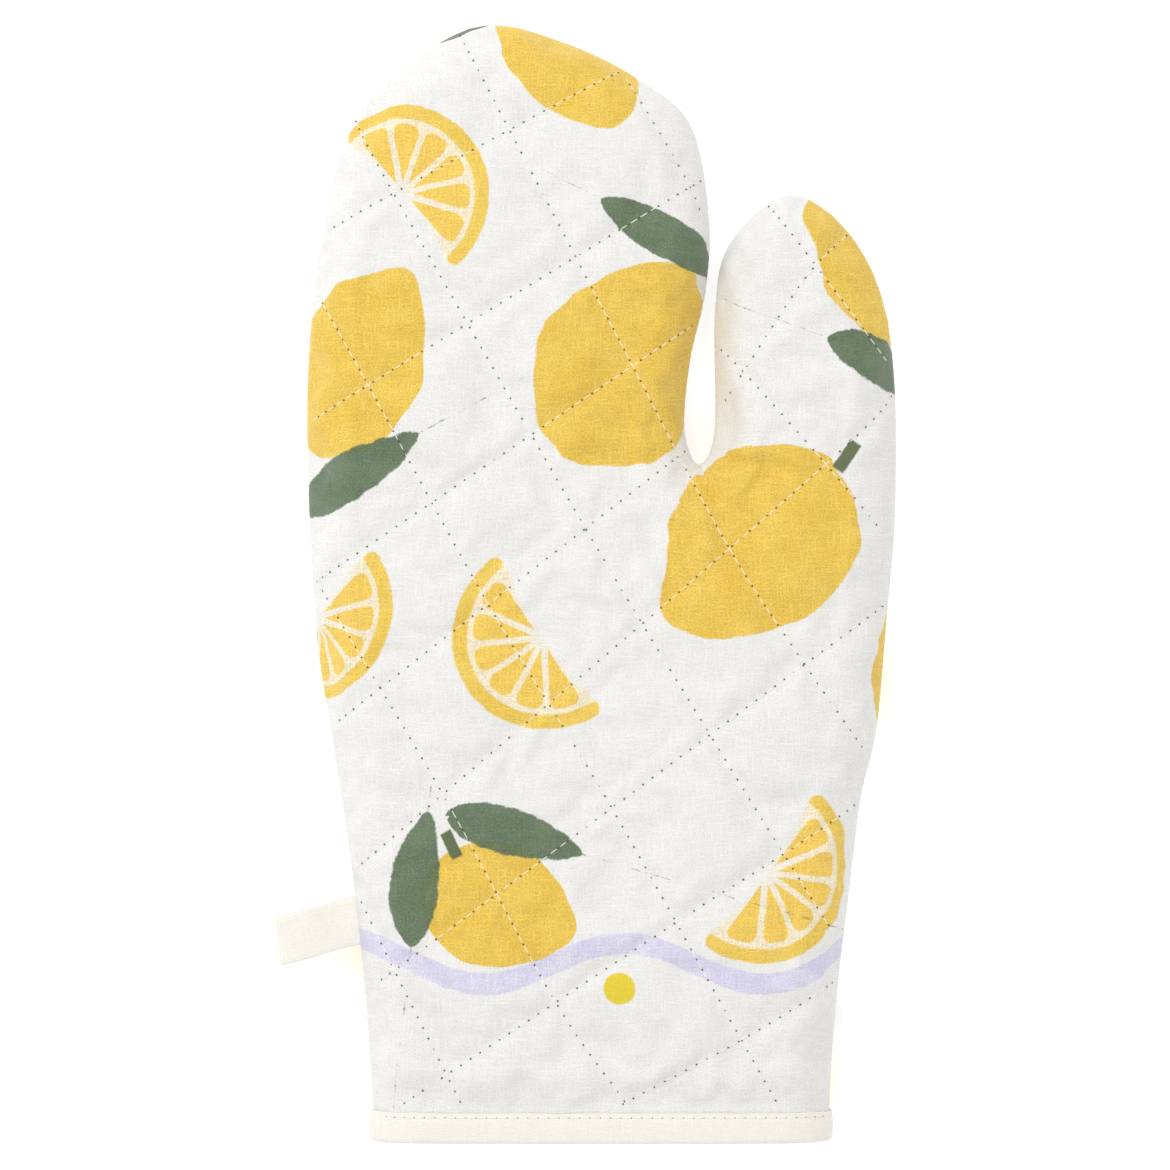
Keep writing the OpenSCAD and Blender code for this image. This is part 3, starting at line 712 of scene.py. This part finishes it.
def swell():
    """A cloth simulation of the front, held down at the stitches and the seam, and pushed
    out by the batting. Gives the coarse panel and how far each of its points has moved."""
    plan, faces = cut_panel(SIM_STEP, PLIES_START, through=quilt_points[::4])
    far, _, _ = from_seam(plan)
    crown = smoothed(crown_height(far), faces, 30) * ease(far / 6.0)
    panel = make_mesh("swelling", lay(plan, FRONT, 0.0, crown), faces)
    off = np.array([quilt_tree.find((x, y, 0))[2] for x, y in plan])
    held = np.nonzero((off < 0.5) | (far < 0.6) | (plan[:, 1] < BINDING_W + 1))[0]
    pins = panel.vertex_groups.new(name="stitches")
    pins.add([int(i) for i in held], 1.0, "REPLACE")
    cloth = panel.modifiers.new("quilted", "CLOTH")
    for setting, value in (("quality", 5), ("mass", 0.12), ("tension_stiffness", 12.0),
                           ("compression_stiffness", 12.0), ("shear_stiffness", 4.0),
                           ("bending_stiffness", 0.25), ("vertex_group_mass", "stitches"),
                           ("shrink_min", -0.035), ("use_pressure", True),
                           ("uniform_pressure_force", 3.2)):
        setattr(cloth.settings, setting, value)
    cloth.settings.effector_weights.gravity = 0
    cloth.collision_settings.use_collision = False
    cloth.point_cache.frame_end = SIM_FRAMES
    for step in range(1, SIM_FRAMES + 1):
        bpy.context.scene.frame_set(step)
    after = panel.evaluated_get(bpy.context.evaluated_depsgraph_get()).data
    moved = np.array([tuple(a.co - b.co) for a, b in zip(after.vertices,
                                                         panel.data.vertices)]) / MM
    bpy.context.scene.frame_set(1)
    bpy.data.objects.remove(panel)
    length = np.linalg.norm(moved, axis=1)
    moved *= (np.minimum(length, MOST_SWELL) / np.maximum(length, 1e-9))[:, None]
    return plan, faces, moved


def carried(plan, faces, low_plan, low_faces, moved):
    """The coarse panel's movement at the points of a finer one, with its facets smoothed."""
    tree = BVHTree.FromPolygons([Vector((x, y, 0)) for x, y in low_plan], low_faces)
    result = np.zeros((len(plan), 3))
    for i, (x, y) in enumerate(plan):
        _, _, face, _ = tree.find_nearest(Vector((x, y, 0)))
        corner = list(low_faces[face])
        near = 1 / (np.linalg.norm(low_plan[corner] - (x, y), axis=1) + 0.05)
        result[i] = (moved[corner] * near[:, None]).sum(0) / near.sum()
    for axis in range(3):
        result[:, axis] = smoothed(result[:, axis], faces, 2)
    return result


CLOTH_STEP = 1.25
BACK_PRINT_SHIFT = (4.0, 262.0)
plan, faces = cut_panel(CLOTH_STEP, PLIES_START)
face_of = np.repeat(np.arange(len(faces)), [len(f) for f in faces])
far, _, _ = from_seam(plan)
crown = smoothed(crown_height(far), faces, 160) * ease(far / 6.0)
outer_cloth = {}
for side, word in SIDES:
    spots = lay(plan, side, 0.0, crown)
    facing = faces if side == FRONT else [f[::-1] for f in faces]
    out = normals_of(spots, facing)
    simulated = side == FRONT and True
    stand = relief(plan, side, simulated)
    if simulated:
        spots = spots + carried(plan, faces, *swell())
    cloth = unrolled(plan, side)
    if side == FRONT:
        stand += crotch_folds(plan) * ease(far / 5.0)
        spots = spots + out * stand[:, None]
    else:
        # the back lies on the table, so it only lifts off it, and its print is turned over
        on_table = ease((2.5 - spots[:, 2]) / 2.5)
        stand = np.where(stand > 0, stand * (1 - on_table), stand * 0.7)
        spots = spots + out * stand[:, None]
        spots[:, 2] = np.maximum(spots[:, 2], 0.0)
        cloth = cloth * (1, -1) + BACK_PRINT_SHIFT
    cloth = cloth[corners_of(facing)]
    layers = [("cloth", cloth)]
    middle = np.array([plan[list(f)].mean(0) for f in facing])
    thumb_faces = is_thumb(middle[:, 0], middle[:, 1]) & (side == FRONT)
    for layer, motifs in (("lemon", LEMONS), ("half", HALVES), ("leaf", LEAVES),
                          ("stem", STEMS)):
        where, number = motif_layer(cloth, face_of, motifs, thumb_faces)
        layers.append((layer, where))
        if layer == "lemon":
            layers.append(("tip", np.array([m[4:6] for m in LEMONS])[number]))
        if layer == "leaf":
            bow = np.array([m[4] for m in LEAVES])[number]
            where[:, 1] += bow * (1 - np.clip(where[:, 0], -1, 1) ** 2)
    outer_cloth[side] = two_pieces(f"{word}_cloth", spots, facing, plan, print_material,
                                   layers)
    for part, piece in outer_cloth[side].items():
        flat, area = cut_size(piece)
        fix_on(piece, part, f"{word}_shell")


def laid_on(pieces, side):
    """Finds places and normals on the pieces' face towards a side of the mitt."""
    trees = [BVHTree.FromPolygons([v.co.copy() for v in piece.data.vertices],
                                  [list(p.vertices) for p in piece.data.polygons])
             for piece in pieces]

    def find(x, y):
        for tree in trees:
            hit, normal, _, _ = tree.ray_cast(in_frame(x, y, 50 * side), Vector((0, 0, -side)))
            if hit is not None:
                return hit, normal if normal.z * side > 0 else -normal
        return None, None
    return find


# ---------------------------------------------------------------- batting
# Two thick off-white sheets of cotton batting between the outer cloth and the linings. They
# give the mitt its loft, are held by the quilting and the seam, and are hidden all round.
batting = Finish("batting", Specular_IOR_Level=0.1, Sheen_Weight=0.3, Sheen_Roughness=0.8)
spot = batting.place()
fibre = batting.noise(spot, 900.0, 4.0, 0.7)
clump = batting.noise(spot, 120.0, 2.0)
batting_material = batting.give(
    batting.shade(srgb(238, 233, 221), fibre * 0.1 + clump * 0.08 + 0.9),
    fibre * 0.1 + 0.85, fibre + clump, 0.0006, 0.8)

BATTING_STEP, BATTING_SHORT, BATTING_INSET = 3.4, 0.6, 1.0
plan, faces = cut_panel(BATTING_STEP, PLIES_START + BATTING_SHORT, BATTING_INSET)
count = len(plan)
PRESSED_BY = [(0, 0), (1.7, 0), (-1.7, 0), (0, 1.7), (0, -1.7)]
PRESSED_TO = 0.55
for side, word in SIDES:
    outer = lay(plan, side, SHELL_T + PLY_GAP)
    # the cloth presses the batting in wherever a stitch or a crease dips
    find = laid_on(outer_cloth[side].values(), side)
    for spot in outer:
        for dx, dy in PRESSED_BY:
            place, _ = find(spot[0] + dx, spot[1] + dy)
            if place is not None:
                covered = place.z / MM - side * PRESSED_TO
                spot[2] = (min if side == FRONT else max)(spot[2], covered)
    spots = np.vstack([outer, lay(plan, side, SHELL_T + PLY_GAP + BATTING_T)])
    shell = faces if side == FRONT else [f[::-1] for f in faces]
    for part in ("hand", "thumb"):
        chosen = [f for f in shell if is_thumb(*plan[list(f)].mean(0)) == (part == "thumb")]
        edges = {}
        for f in chosen:
            for a, b in zip(f, f[1:] + f[:1]):
                edges.setdefault((min(a, b), max(a, b)), []).append((a, b))
        used = chosen + [tuple(i + count for i in f[::-1]) for f in chosen]
        used += [(b, a, a + count, b + count) for ways in edges.values() if len(ways) == 1
                 for a, b in ways]
        piece, _ = cut_out(f"{word}_batting_{part}", spots, used, batting_material)
        fix_on(piece, part, f"{word}_batting")


# ---------------------------------------------------------------- quilting stitches
# A lockstitch in fine cream thread through all the plies, about eight stitches to the inch.
# Each stitch sinks into the cloth, with a small needle hole at both its ends, drawn as a flat
# dark disc whose colour is painted shade.
thread = Finish("sewing_thread", Specular_IOR_Level=0.3, Sheen_Weight=0.2)
spot = thread.place()
fuzz = thread.noise(spot, 2600.0, 2.0)
thread_material = thread.give(thread.shade(srgb(246, 243, 234), fuzz * 0.12 + 0.94),
                              fuzz * 0.15 + 0.72, fuzz, 0.00008, 0.6)
# The needle holes are flat dark brown-grey discs: their colour is painted shade, standing for
# the dark inside each hole.
hole = Finish("needle_hole_painted_shade", Specular_IOR_Level=0.05)
hole_shade_material = hole.give(hole.shade(srgb(106, 95, 78), hole.noise(hole.place(), 700.0) * 0.5
                                     + 0.75), 0.95)


def stitch_tree(name):
    """Instances of a stitch and of a painted-shade needle hole along a line laid on the cloth.
    """
    tree = bpy.data.node_groups.new(name, "GeometryNodeTree")
    face = tree.interface
    face.new_socket("Geometry", in_out="INPUT", socket_type="NodeSocketGeometry")
    for label, kind in (("Pitch", "Float"), ("Stitch Length", "Float"),
                        ("Thread Width", "Float"), ("Sink", "Float"), ("Hole", "Float"),
                        ("Unevenness", "Float"), ("Seed", "Int"),
                        ("Thread", "Material"), ("Hole Shade Material", "Material")):
        face.new_socket(label, in_out="INPUT", socket_type=f"NodeSocket{kind}")
    face.new_socket("Geometry", in_out="OUTPUT", socket_type="NodeSocketGeometry")
    nodes, links = tree.nodes, tree.links
    given = nodes.new("NodeGroupInput").outputs

    def add(kind, inputs=(), **settings):
        made = nodes.new(kind)
        for key, value in settings.items():
            setattr(made, key, value)
        for key, value in dict(inputs).items():
            if isinstance(value, bpy.types.NodeSocket):
                links.new(value, made.inputs[key])
            else:
                made.inputs[key].default_value = value
        return made

    line = add("GeometryNodeMeshToCurve", {0: given["Geometry"]})
    even = add("GeometryNodeResampleCurve", {"Curve": line.outputs[0],
                                             "Length": given["Pitch"]}, mode="LENGTH")
    up = add("GeometryNodeInputNamedAttribute", {"Name": "cloth_up"},
             data_type="FLOAT_VECTOR")
    tangent = add("GeometryNodeInputTangent")
    turn = add("FunctionNodeAlignRotationToVector", {"Vector": tangent.outputs[0]}, axis="X")
    turn = add("FunctionNodeAlignRotationToVector", {"Rotation": turn.outputs[0],
                                                     "Vector": up.outputs[0]},
               axis="Z", pivot_axis="X")
    wander = add("FunctionNodeRandomValue", {"Seed": given["Seed"]}, data_type="FLOAT")
    wander.inputs[2].default_value, wander.inputs[3].default_value = -1.0, 1.0

    def combine(a, b, operation="MULTIPLY"):
        return add("ShaderNodeMath", {0: a, 1: b}, operation=operation).outputs[0]

    grow = combine(combine(wander.outputs[1], given["Unevenness"]), 1.0, "ADD")
    size = add("ShaderNodeCombineXYZ", {0: combine(grow, given["Stitch Length"]),
                                        1: given["Thread Width"], 2: given["Thread Width"]})
    def beads(at, rounds, material, size):
        bead = add("GeometryNodeMeshIcoSphere", {"Radius": 0.5, "Subdivisions": rounds})
        paint = add("GeometryNodeSetMaterial", {0: bead.outputs[0], "Material": material})
        return add("GeometryNodeInstanceOnPoints",
                   {"Points": at, "Instance": paint.outputs[0], "Rotation": turn.outputs[0],
                    "Scale": size.outputs[0]})

    stitches = beads(even.outputs[0], 2, given["Thread"], size)
    forward = add("ShaderNodeVectorMath", {0: tangent.outputs[0],
                                           "Scale": combine(given["Pitch"], 0.5)},
                  operation="SCALE")
    moved = add("GeometryNodeSetPosition", {"Geometry": even.outputs[0],
                                            "Offset": forward.outputs[0]})
    hole_shade_size = add("ShaderNodeCombineXYZ", {0: given["Hole"], 1: given["Hole"],
                                            2: combine(given["Hole"], given["Sink"])})
    hole_shades = beads(moved.outputs[0], 1, given["Hole Shade Material"], hole_shade_size)
    both = add("GeometryNodeJoinGeometry")
    links.new(hole_shades.outputs[0], both.inputs[0])
    links.new(stitches.outputs[0], both.inputs[0])
    real = add("GeometryNodeRealizeInstances", {0: both.outputs[0]})
    # none is selected, so each stitch and hole keeps its own material
    keep = add("GeometryNodeSetMaterial", {0: real.outputs[0], "Selection": False,
                                           "Material": given["Thread"]})
    smooth = add("GeometryNodeSetShadeSmooth", {0: keep.outputs[0]})
    links.new(smooth.outputs[0], nodes.new("NodeGroupOutput").inputs[0])
    return tree


sewing = stitch_tree("sewing")


def sew(name, lines, settings):
    """Stitches along lines of (place, normal) in the frame, as one plain mesh."""
    # the needle holes take the material of painted hole shade
    inputs = {"Thread": thread_material, "Hole Shade Material": hole_shade_material, **settings}
    mesh = bpy.data.meshes.new(name + "_line")
    points, ups, edges = [], [], []
    for line in lines:
        edges += [(len(points) + i, len(points) + i + 1) for i in range(len(line) - 1)]
        points += [tuple(p) for p, _ in line]
        ups += [tuple(n) for _, n in line]
    mesh.from_pydata(points, edges, [])
    mesh.attributes.new("cloth_up", "FLOAT_VECTOR", "POINT").data.foreach_set(
        "vector", np.array(ups, np.float32).ravel())
    source = bpy.data.objects.new(name + "_line", mesh)
    bpy.context.scene.collection.objects.link(source)
    modifier = source.modifiers.new("sewing", "NODES")
    modifier.node_group = sewing
    for item in sewing.interface.items_tree:
        if item.in_out == "INPUT" and item.name in inputs:
            modifier[item.identifier] = inputs[item.name]
    bpy.context.view_layer.update()
    graph = bpy.context.evaluated_depsgraph_get()
    made = bpy.data.meshes.new_from_object(source.evaluated_get(graph))
    bpy.data.objects.remove(source)
    made.name = name
    if "cloth_up" in made.attributes:
        made.attributes.remove(made.attributes["cloth_up"])
    piece = bpy.data.objects.new(name, made)
    bpy.context.scene.collection.objects.link(piece)
    return piece


QUILT_STITCH = {"Pitch": 0.0033, "Stitch Length": 0.0025, "Thread Width": 0.0003,
                "Sink": 0.45, "Hole": 0.00064, "Unevenness": 0.12, "Seed": 7}
THREAD_LIFT = 0.00002
for side, word in SIDES:
    find = laid_on(outer_cloth[side].values(), side)
    lines = {"hand": [], "thumb": []}
    for run in quilting:
        line, part = [], None
        for x, y in run:
            place, normal = find(x, y)
            if place is None:
                continue
            now = "thumb" if is_thumb(x, y) else "hand"
            if now != part and line:
                lines[part].append(line)
                line = []
            part = now
            line.append((place + normal * (THREAD_LIFT if side == FRONT else 0), normal))
        if line:
            lines[part].append(line)
    for part in lines:
        piece = sew(f"{word}_quilting_{part}", [line for line in lines[part] if len(line) > 5],
                    QUILT_STITCH)
        fix_on(piece, part, f"{word}_quilting")


# ---------------------------------------------------------------- side seam
# Front and back are sewn together right sides in and turned, so the seam is a fine groove
# all round, with short bites of thread across it.
SEAM_STITCH = {"Pitch": 0.0024, "Stitch Length": 0.0017, "Thread Width": 0.0003,
               "Sink": 0.5, "Hole": 0.0003, "Unevenness": 0.15, "Seed": 11}
seam_start = seam_line[seam_line[:, 1] >= BINDING_W + 2.0]
_, seam_normal, _ = from_seam(seam_start)
number = np.arange(len(seam_start))
foot = int(np.argmin(np.linalg.norm(seam_start - np.array(SLOT_FOOT), axis=1)))
thumb_first = int(np.argmax((number > foot) & (seam_start[:, 1] >= THUMB_CUT + 1)))
thumb_last = np.nonzero((number > thumb_first) & (seam_start[:, 1] < THUMB_CUT))[0][0]


def seam_run(first, last):
    """The seam between two of its points, just inside the outline."""
    return [(in_frame(x + nx * 0.05, y + ny * 0.05, SEAM_Z), Vector((-nx, -ny, 0)))
            for (x, y), (nx, ny) in zip(seam_start[first:last:4], seam_normal[first:last:4])]


for part, lines in (("hand", [seam_run(0, thumb_first), seam_run(thumb_last, len(seam_start))]),
                    ("thumb", [seam_run(thumb_first, thumb_last)])):
    piece = sew(f"side_seam_{part}", lines, SEAM_STITCH)
    fix_on(piece, part, "seam_thread")


# ---------------------------------------------------------------- cuff binding
# A strip of plain cream cotton folded over the cuff's raw edges, inside and out, and sewn
# through near its upper edge, where the row of stitches draws the strip in a little.
cream = Finish("cream_cloth", Specular_IOR_Level=0.22, Sheen_Weight=0.2, Sheen_Roughness=0.55)
cream_map = cream.uv("cloth")
thread_height, thread_tone = weave(cream, cream_map, 0.42)
crease = cream.noise(cream_map, 0.16, 3.0, 0.6)
cream_material = cream.give(
    cream.shade(cream.mix(crease, srgb(249, 245, 237), srgb(245, 240, 229)),
                thread_tone * 0.7 + 1.0),
    thread_tone * 0.4 + 0.84, thread_height * 0.7 + crease * 1.5, 0.0002, 0.6)


RING_COUNT = 360
CUFF_LOWEST = -8.0      # the outline runs on this far below the cuff's edge
FOLD_R = 0.35           # the strip's folded upper edges
STITCH_ROW = 7.7


def cuff_ring(y, depth):
    """A closed ring round the cuff at a height and a depth, from the left of the front."""
    left = np.interp(y, [-9, 0, 20], [-65.4, -65.4, -66])
    share = np.linspace(0, 1, RING_COUNT // 2 + 1)
    slow_ends = (1 - np.cos(np.pi * share)) / 2
    x = left - 2 * left * (0.75 * slow_ends + 0.25 * share)
    plan = np.column_stack([x, np.full(len(x), max(y, CUFF_LOWEST))])
    front, back = lay(plan, FRONT, depth), lay(plan, BACK, depth)
    front[:, 1] = back[:, 1] = y
    return np.vstack([front, back[::-1][1:-1]])


def strip_profile():
    """The binding's section as (height, depth under the plies' outer face): down the
    outside, round the cuff's edge, up the inside, and back between the plies and the strip."""
    wall = SHELL_T + BATTING_T + LINING_T + 2 * PLY_GAP
    out, inner = -PLY_GAP - 0.02, wall + PLY_GAP
    profile = []
    for k in range(5):
        a = math.pi / 2 * k / 4
        profile.append((BINDING_W - FOLD_R + FOLD_R * math.cos(a),
                        out - BINDING_T * 0.45 - FOLD_R * math.sin(a)))
    for y in (7.4, 6.9, 6.2, 5.2, 4.0, 2.8, 1.8):
        puff = 0.16 * math.sin(math.pi * (7.9 - y) / 7.0)
        dip = 0.28 * math.exp(-((y - 7.8) / 0.5) ** 2)
        profile.append((y, out - BINDING_T - puff + dip))
    middle, half = (out + inner) / 2, (inner - out) / 2 + BINDING_T
    for k in range(9):
        a = math.pi * k / 8
        profile.append((1.0 - math.sin(a), middle - half * math.cos(a)))
    profile += [(y, inner + BINDING_T) for y in (3.0, 4.6, 6.2, 7.6)]
    for k in range(4):
        a = math.pi / 2 * (1 - k / 3)
        profile.append((BINDING_W - FOLD_R + FOLD_R * math.cos(a),
                        inner + BINDING_T * 0.55 + 0.3 * math.sin(a)))
    return profile + [(BINDING_W - 0.3, inner), (5.0, inner), (1.4, inner - 0.05),
                      (0.75, wall * 0.5), (1.4, out + 0.05), (5.0, out),
                      (BINDING_W - 0.2, out)]


profile = strip_profile()
rings = []
for y, depth in profile:
    ring = cuff_ring(y, 0.0)
    step = cuff_ring(y, 1.0) - ring
    step[:, 1] = 0
    step /= np.maximum(np.linalg.norm(step, axis=1), 1e-6)[:, None]
    squeezed = depth * (1 - CUFF_SQUEEZE * at_binding(max(y, 0.0)))
    rings.append(ring + step * (depth if depth < 0 else squeezed))
rings = np.array(rings)
around = run_along(rings[8])
wobble = np.array([noise.noise((a / 11.0, 0.0, 5.0)) for a in around])
ripple = np.array([noise.noise((a / 3.2, 4.0, 5.0)) for a in around])
for ring, (y, depth) in zip(rings, profile):
    ring[:, 1] += 0.28 * wobble * ease((y - 4) / 4) + 0.12 * ripple * ease((y - 0.5) / 4)
    if depth < -0.5:
        ring[:, 2] += np.sign(ring[:, 2] - SEAM_Z) * 0.16 * ripple * (y < 8.6)
rings[:, :, 2] = np.maximum(rings[:, :, 2], 0.0)


def tube_faces(rounds, size, closed):
    """The faces of a tube of rounds of size points each."""
    return [(k * size + i, k * size + (i + 1) % size,
             (k + 1) % rounds * size + (i + 1) % size, (k + 1) % rounds * size + i)
            for k in range(rounds if closed else rounds - 1) for i in range(size)]


def point_out(piece):
    """Normals outwards on a closed piece."""
    mesh = bmesh.new()
    mesh.from_mesh(piece.data)
    bmesh.ops.recalc_face_normals(mesh, faces=mesh.faces)
    if mesh.calc_volume(signed=True) < 0:
        bmesh.ops.reverse_faces(mesh, faces=mesh.faces)
    mesh.to_mesh(piece.data)
    mesh.free()


faces = tube_faces(len(profile), len(around), closed=True)
binding = make_mesh("cuff_binding_strip", rings.reshape(-1, 3), faces, cream_material)
cloth = np.array([(a, d) for d in run_along(np.array(profile)) for a in around])
set_layer(binding, "cloth", cloth[corners_of(faces)])
point_out(binding)
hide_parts("cuff_binding")
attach(binding, "palm")

TOPSTITCH = {"Pitch": 0.0029, "Stitch Length": 0.0023, "Thread Width": 0.00034, "Sink": 0.5,
             "Hole": 0.00036, "Unevenness": 0.1, "Seed": 3}
rows = []
for side, _ in SIDES:
    find = laid_on([binding], side)
    found = [find(x, STITCH_ROW) for x in np.arange(-62.5, 62.6, 0.8)]
    rows.append([(place + normal * (2 * THREAD_LIFT if side == FRONT else 0), normal)
                 for place, normal in found if place is not None])
topstitch = sew("binding_topstitch_thread", rows, TOPSTITCH)
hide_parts("binding_topstitch")
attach(topstitch, "palm")


# ---------------------------------------------------------------- hanging loop
# A flat cream cotton tape, doubled and caught in the seam at its two ends. It bows open a
# little where it is folded and leans down towards the cuff.
TAPE_W, TAPE_T, TAPE_EDGE, TAPE_SEWN = 14.0, 0.9, 0.4, 5.6
LOOP_REACH, LOOP_BOW, ROOT_IN, ROOT_Z, SET_OFF = 22.0, 3.75, 6, 0.5, 1.1
LOOP_LEAN, LOOP_DROOP = math.radians(6.7), math.radians(9.0)
LOOP_Y = 63.5
loop_x = np.interp(LOOP_Y, [52, 82], [-68.5, -72]) - 0.05
path = [(k - ROOT_IN, ROOT_Z) for k in range(ROOT_IN)]
path += [(LOOP_REACH * math.sin(a), ROOT_Z * math.cos(a) + LOOP_BOW * math.sin(2 * a))
         for a in np.linspace(0, math.pi, 61)]
path += [(-1 - k, -ROOT_Z) for k in range(ROOT_IN)]
path = even_steps(np.array(path, float), 0.7)
ahead = np.gradient(path, axis=0)
ahead /= np.linalg.norm(ahead, axis=1)[:, None]
section = []    # (across, out) round the tape, its two long edges rounded
flat_half = TAPE_W / 2 - TAPE_EDGE
for face in (1, -1):
    section += [(face * flat_half * (1 - 2 * k / 14), face * TAPE_T / 2) for k in range(15)]
    for k in (1, 2, 3):
        a = math.pi / 2 - math.pi * k / 4
        section.append((-face * (flat_half + TAPE_EDGE * math.cos(a)),
                        face * math.sin(a) * TAPE_T / 2))
points, cloth = [], []
for (u, z), (du, dz), s in zip(path, ahead, run_along(path)):
    wave = 0.25 * noise.noise((s / 9.0, 0.0, 15.0))
    free = max(0.0, u)
    for across, out in section:
        if abs(out) > 0.3:    # the tape's two faces are a little uneven
            puff = 0.12 * noise.noise((s / 4.0, across / 3.0, 9.0))
            puff -= 0.10 * math.exp(-((abs(across) - TAPE_SEWN) / 0.45) ** 2)
            out += math.copysign(puff, out)
        x = dz * out - u - SET_OFF * (u > 0) * min(1.0, u / 2)
        y = across * (1 + 0.02 * wave) + wave * min(1, free / 6) - free * math.tan(LOOP_DROOP)
        points.append((loop_x + x * math.cos(LOOP_LEAN) - y * math.sin(LOOP_LEAN),
                       LOOP_Y + x * math.sin(LOOP_LEAN) + y * math.cos(LOOP_LEAN),
                       SEAM_Z + z + du * out))
        cloth.append((s, across + 30 * (out > 0)))
faces = tube_faces(len(path), len(section), closed=False)
faces += [tuple(range(len(section))),
          tuple(reversed(range(len(points) - len(section), len(points))))]
loop = make_mesh("hanging_loop_tape", points, faces, cream_material)
set_layer(loop, "cloth", np.array(cloth)[corners_of(faces)])
point_out(loop)
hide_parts("hanging_loop")
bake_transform(loop)


# ---------------------------------------------------------------- stage, light and camera
# The mitt lies on a plain white table under broad soft light and is seen from straight above.
white_table = Finish("white_table", Roughness=0.9, Specular_IOR_Level=0.05,
                     Base_Color=(0.95, 0.95, 0.95, 1), Emission_Color=(1, 1, 1, 1),
                     Emission_Strength=0.36)
HALF_TABLE, TABLE_Z = 3.0, -0.0004
table = bpy.data.meshes.new("table")
table.from_pydata([(x * HALF_TABLE, y * HALF_TABLE, TABLE_Z)
                   for x, y in ((-1, -1), (1, -1), (1, 1), (-1, 1))], [], [(0, 1, 2, 3)])
table.materials.append(white_table.material)
table = bpy.data.objects.new("table", table)
bpy.context.scene.collection.objects.link(table)

world = bpy.data.worlds.new("studio")
bpy.context.scene.world = world
world.use_nodes = True
background = world.node_tree.nodes["Background"]
background.inputs["Color"].default_value = (1, 1, 1, 1)
background.inputs["Strength"].default_value = 0.62
bpy.context.scene.view_settings.view_transform = "Standard"

for name, place, size, power in (("key", (-0.7, 0.9, 1.5), 1.2, 16.0),
                                 ("fill", (0.4, -0.9, 1.6), 1.4, 5.5)):
    light = bpy.data.lights.new(name, "AREA")
    light.size, light.energy = size, power
    lamp = bpy.data.objects.new(name, light)
    lamp.location = place
    lamp.rotation_euler = (Vector(place) * -1).to_track_quat("-Z", "Y").to_euler()
    bpy.context.scene.collection.objects.link(lamp)

FRAME_W, FOCAL, SENSOR, MITT_TOP = 0.3352, 200.0, 36.0, 0.013
camera_data = bpy.data.cameras.new("camera")
camera_data.lens, camera_data.sensor_width = FOCAL, SENSOR
camera = bpy.data.objects.new("camera", camera_data)
camera.location = (-0.00034, -0.0006, FRAME_W * FOCAL / SENSOR + MITT_TOP)
bpy.context.scene.collection.objects.link(camera)
bpy.context.scene.camera = camera
